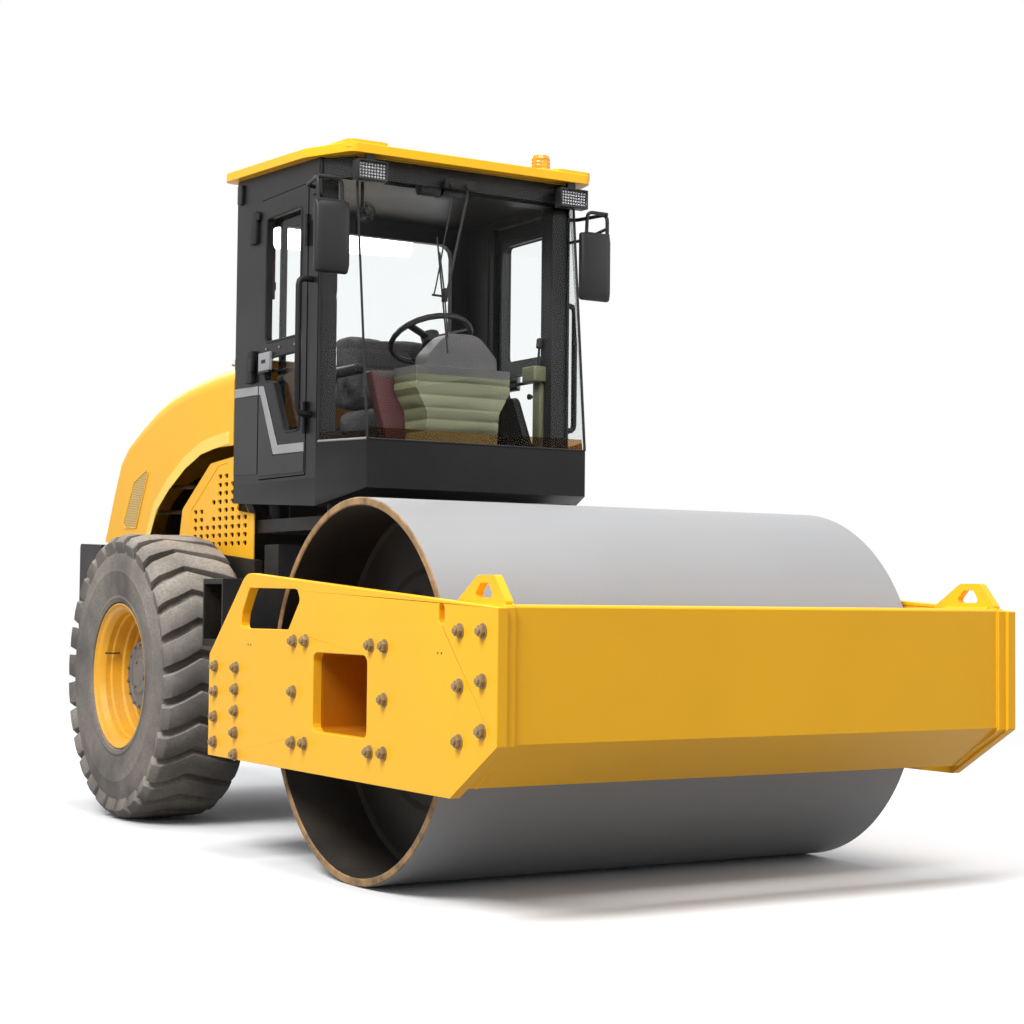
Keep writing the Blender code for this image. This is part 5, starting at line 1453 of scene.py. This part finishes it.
# ---------- floor, light and camera ----------
def seenRays(tree, rays):
    # what the camera meets, straight, mirrored or through glass
    seen = mathNode(tree, "MAXIMUM", rays.outputs["Is Camera Ray"], rays.outputs["Is Glossy Ray"])
    return mathNode(tree, "MAXIMUM", seen, rays.outputs["Is Transmission Ray"])


def makeStage():
    clearSelection()
    bpy.ops.mesh.primitive_plane_add(size=60.0, location=(0, 0, -0.0005))
    floor = settle(bpy.context.object)
    floor.name = "floor"
    pale = bpy.data.materials.new("paleFloor")
    pale.use_nodes = True
    tree = pale.node_tree
    shader = tree.nodes["Principled BSDF"]
    shader.inputs["Roughness"].default_value = 0.9
    place = addNode(tree, "TexCoord")
    far = addNode(tree, "VectorMath", operation="LENGTH")
    tree.links.new(place.outputs["Object"], far.inputs[0])
    fade = spread(tree, far.outputs["Value"], 4.5, 9.0)
    rays = addNode(tree, "LightPath")
    seen = seenRays(tree, rays)
    # the floor throws little light back up, as a wide dull yard does
    tone = mixColour(tree, rays.outputs["Is Diffuse Ray"], (0.86, 0.86, 0.86, 1), (0.22, 0.22, 0.22, 1))
    tree.links.new(tone, shader.inputs["Base Color"])
    white = addNode(tree, "Emission")
    white.inputs["Color"].default_value = (1, 1, 1, 1)
    choose = addNode(tree, "MixShader")
    tree.links.new(mathNode(tree, "MULTIPLY", fade, seen), choose.inputs[0])
    tree.links.new(shader.outputs[0], choose.inputs[1])
    tree.links.new(white.outputs[0], choose.inputs[2])
    tree.links.new(choose.outputs[0], tree.nodes["Material Output"].inputs["Surface"])
    floor.data.materials.append(pale)


lightTable = {
    "key": dict(place=(-7.5, -4.2, 9.5), size=5.0, power=1450.0),
    "overhead": dict(place=(-0.5, -2.6, 9.0), size=4.0, power=420.0),
    "fill": dict(place=(7.0, -5.0, 4.5), size=5.0, power=140.0),
    "back": dict(place=(2.0, 8.0, 6.5), size=5.0, power=420.0),
}


def makeLights():
    for name, values in lightTable.items():
        lamp = bpy.data.lights.new(name, "AREA")
        lamp.size = values["size"]
        lamp.energy = values["power"]
        holder = bpy.data.objects.new(name, lamp)
        holder.location = values["place"]
        aim = Vector((0, -0.3, 1.0)) - holder.location
        holder.rotation_euler = aim.to_track_quat("-Z", "Y").to_euler()
        bpy.context.scene.collection.objects.link(holder)
    world = bpy.data.worlds.new("studio")
    bpy.context.scene.world = world
    world.use_nodes = True
    tree = world.node_tree
    backdrop = tree.nodes["Background"]
    backdrop.inputs["Color"].default_value = (0.92, 0.95, 1.0, 1)
    backdrop.inputs["Strength"].default_value = 0.5
    white = addNode(tree, "Background")
    white.inputs["Color"].default_value = (1, 1, 1, 1)
    rays = addNode(tree, "LightPath")
    seen = seenRays(tree, rays)
    choose = addNode(tree, "MixShader")
    tree.links.new(seen, choose.inputs[0])
    tree.links.new(backdrop.outputs[0], choose.inputs[1])
    tree.links.new(white.outputs[0], choose.inputs[2])
    tree.links.new(choose.outputs[0], tree.nodes["World Output"].inputs["Surface"])


cameraSettings = dict(place=(-4.4018, -8.0601, 1.0539), azimuth=-31.6452, rise=-2.5884, roll=0.5819,
                      lens=69.1082)


def makeCamera():
    turn, lift = math.radians(cameraSettings["azimuth"]), math.radians(cameraSettings["rise"])
    back = Vector((math.sin(turn) * math.cos(lift), -math.cos(turn) * math.cos(lift), math.sin(lift)))
    right = (-back).cross(Vector((0, 0, 1))).normalized()
    up = right.cross(-back)
    c, s = math.cos(math.radians(cameraSettings["roll"])), math.sin(math.radians(cameraSettings["roll"]))
    right, up = c * right + s * up, -s * right + c * up
    turned = Matrix((right, up, back)).transposed().to_4x4()
    lens = bpy.data.cameras.new("viewCamera")
    lens.lens = cameraSettings["lens"]
    lens.sensor_width = 36.0
    holder = bpy.data.objects.new("viewCamera", lens)
    holder.matrix_world = Matrix.Translation(cameraSettings["place"]) @ turned
    bpy.context.scene.collection.objects.link(holder)
    bpy.context.scene.camera = holder


makeStage()
makeLights()
makeCamera()
bpy.context.scene.view_settings.view_transform = "Standard"
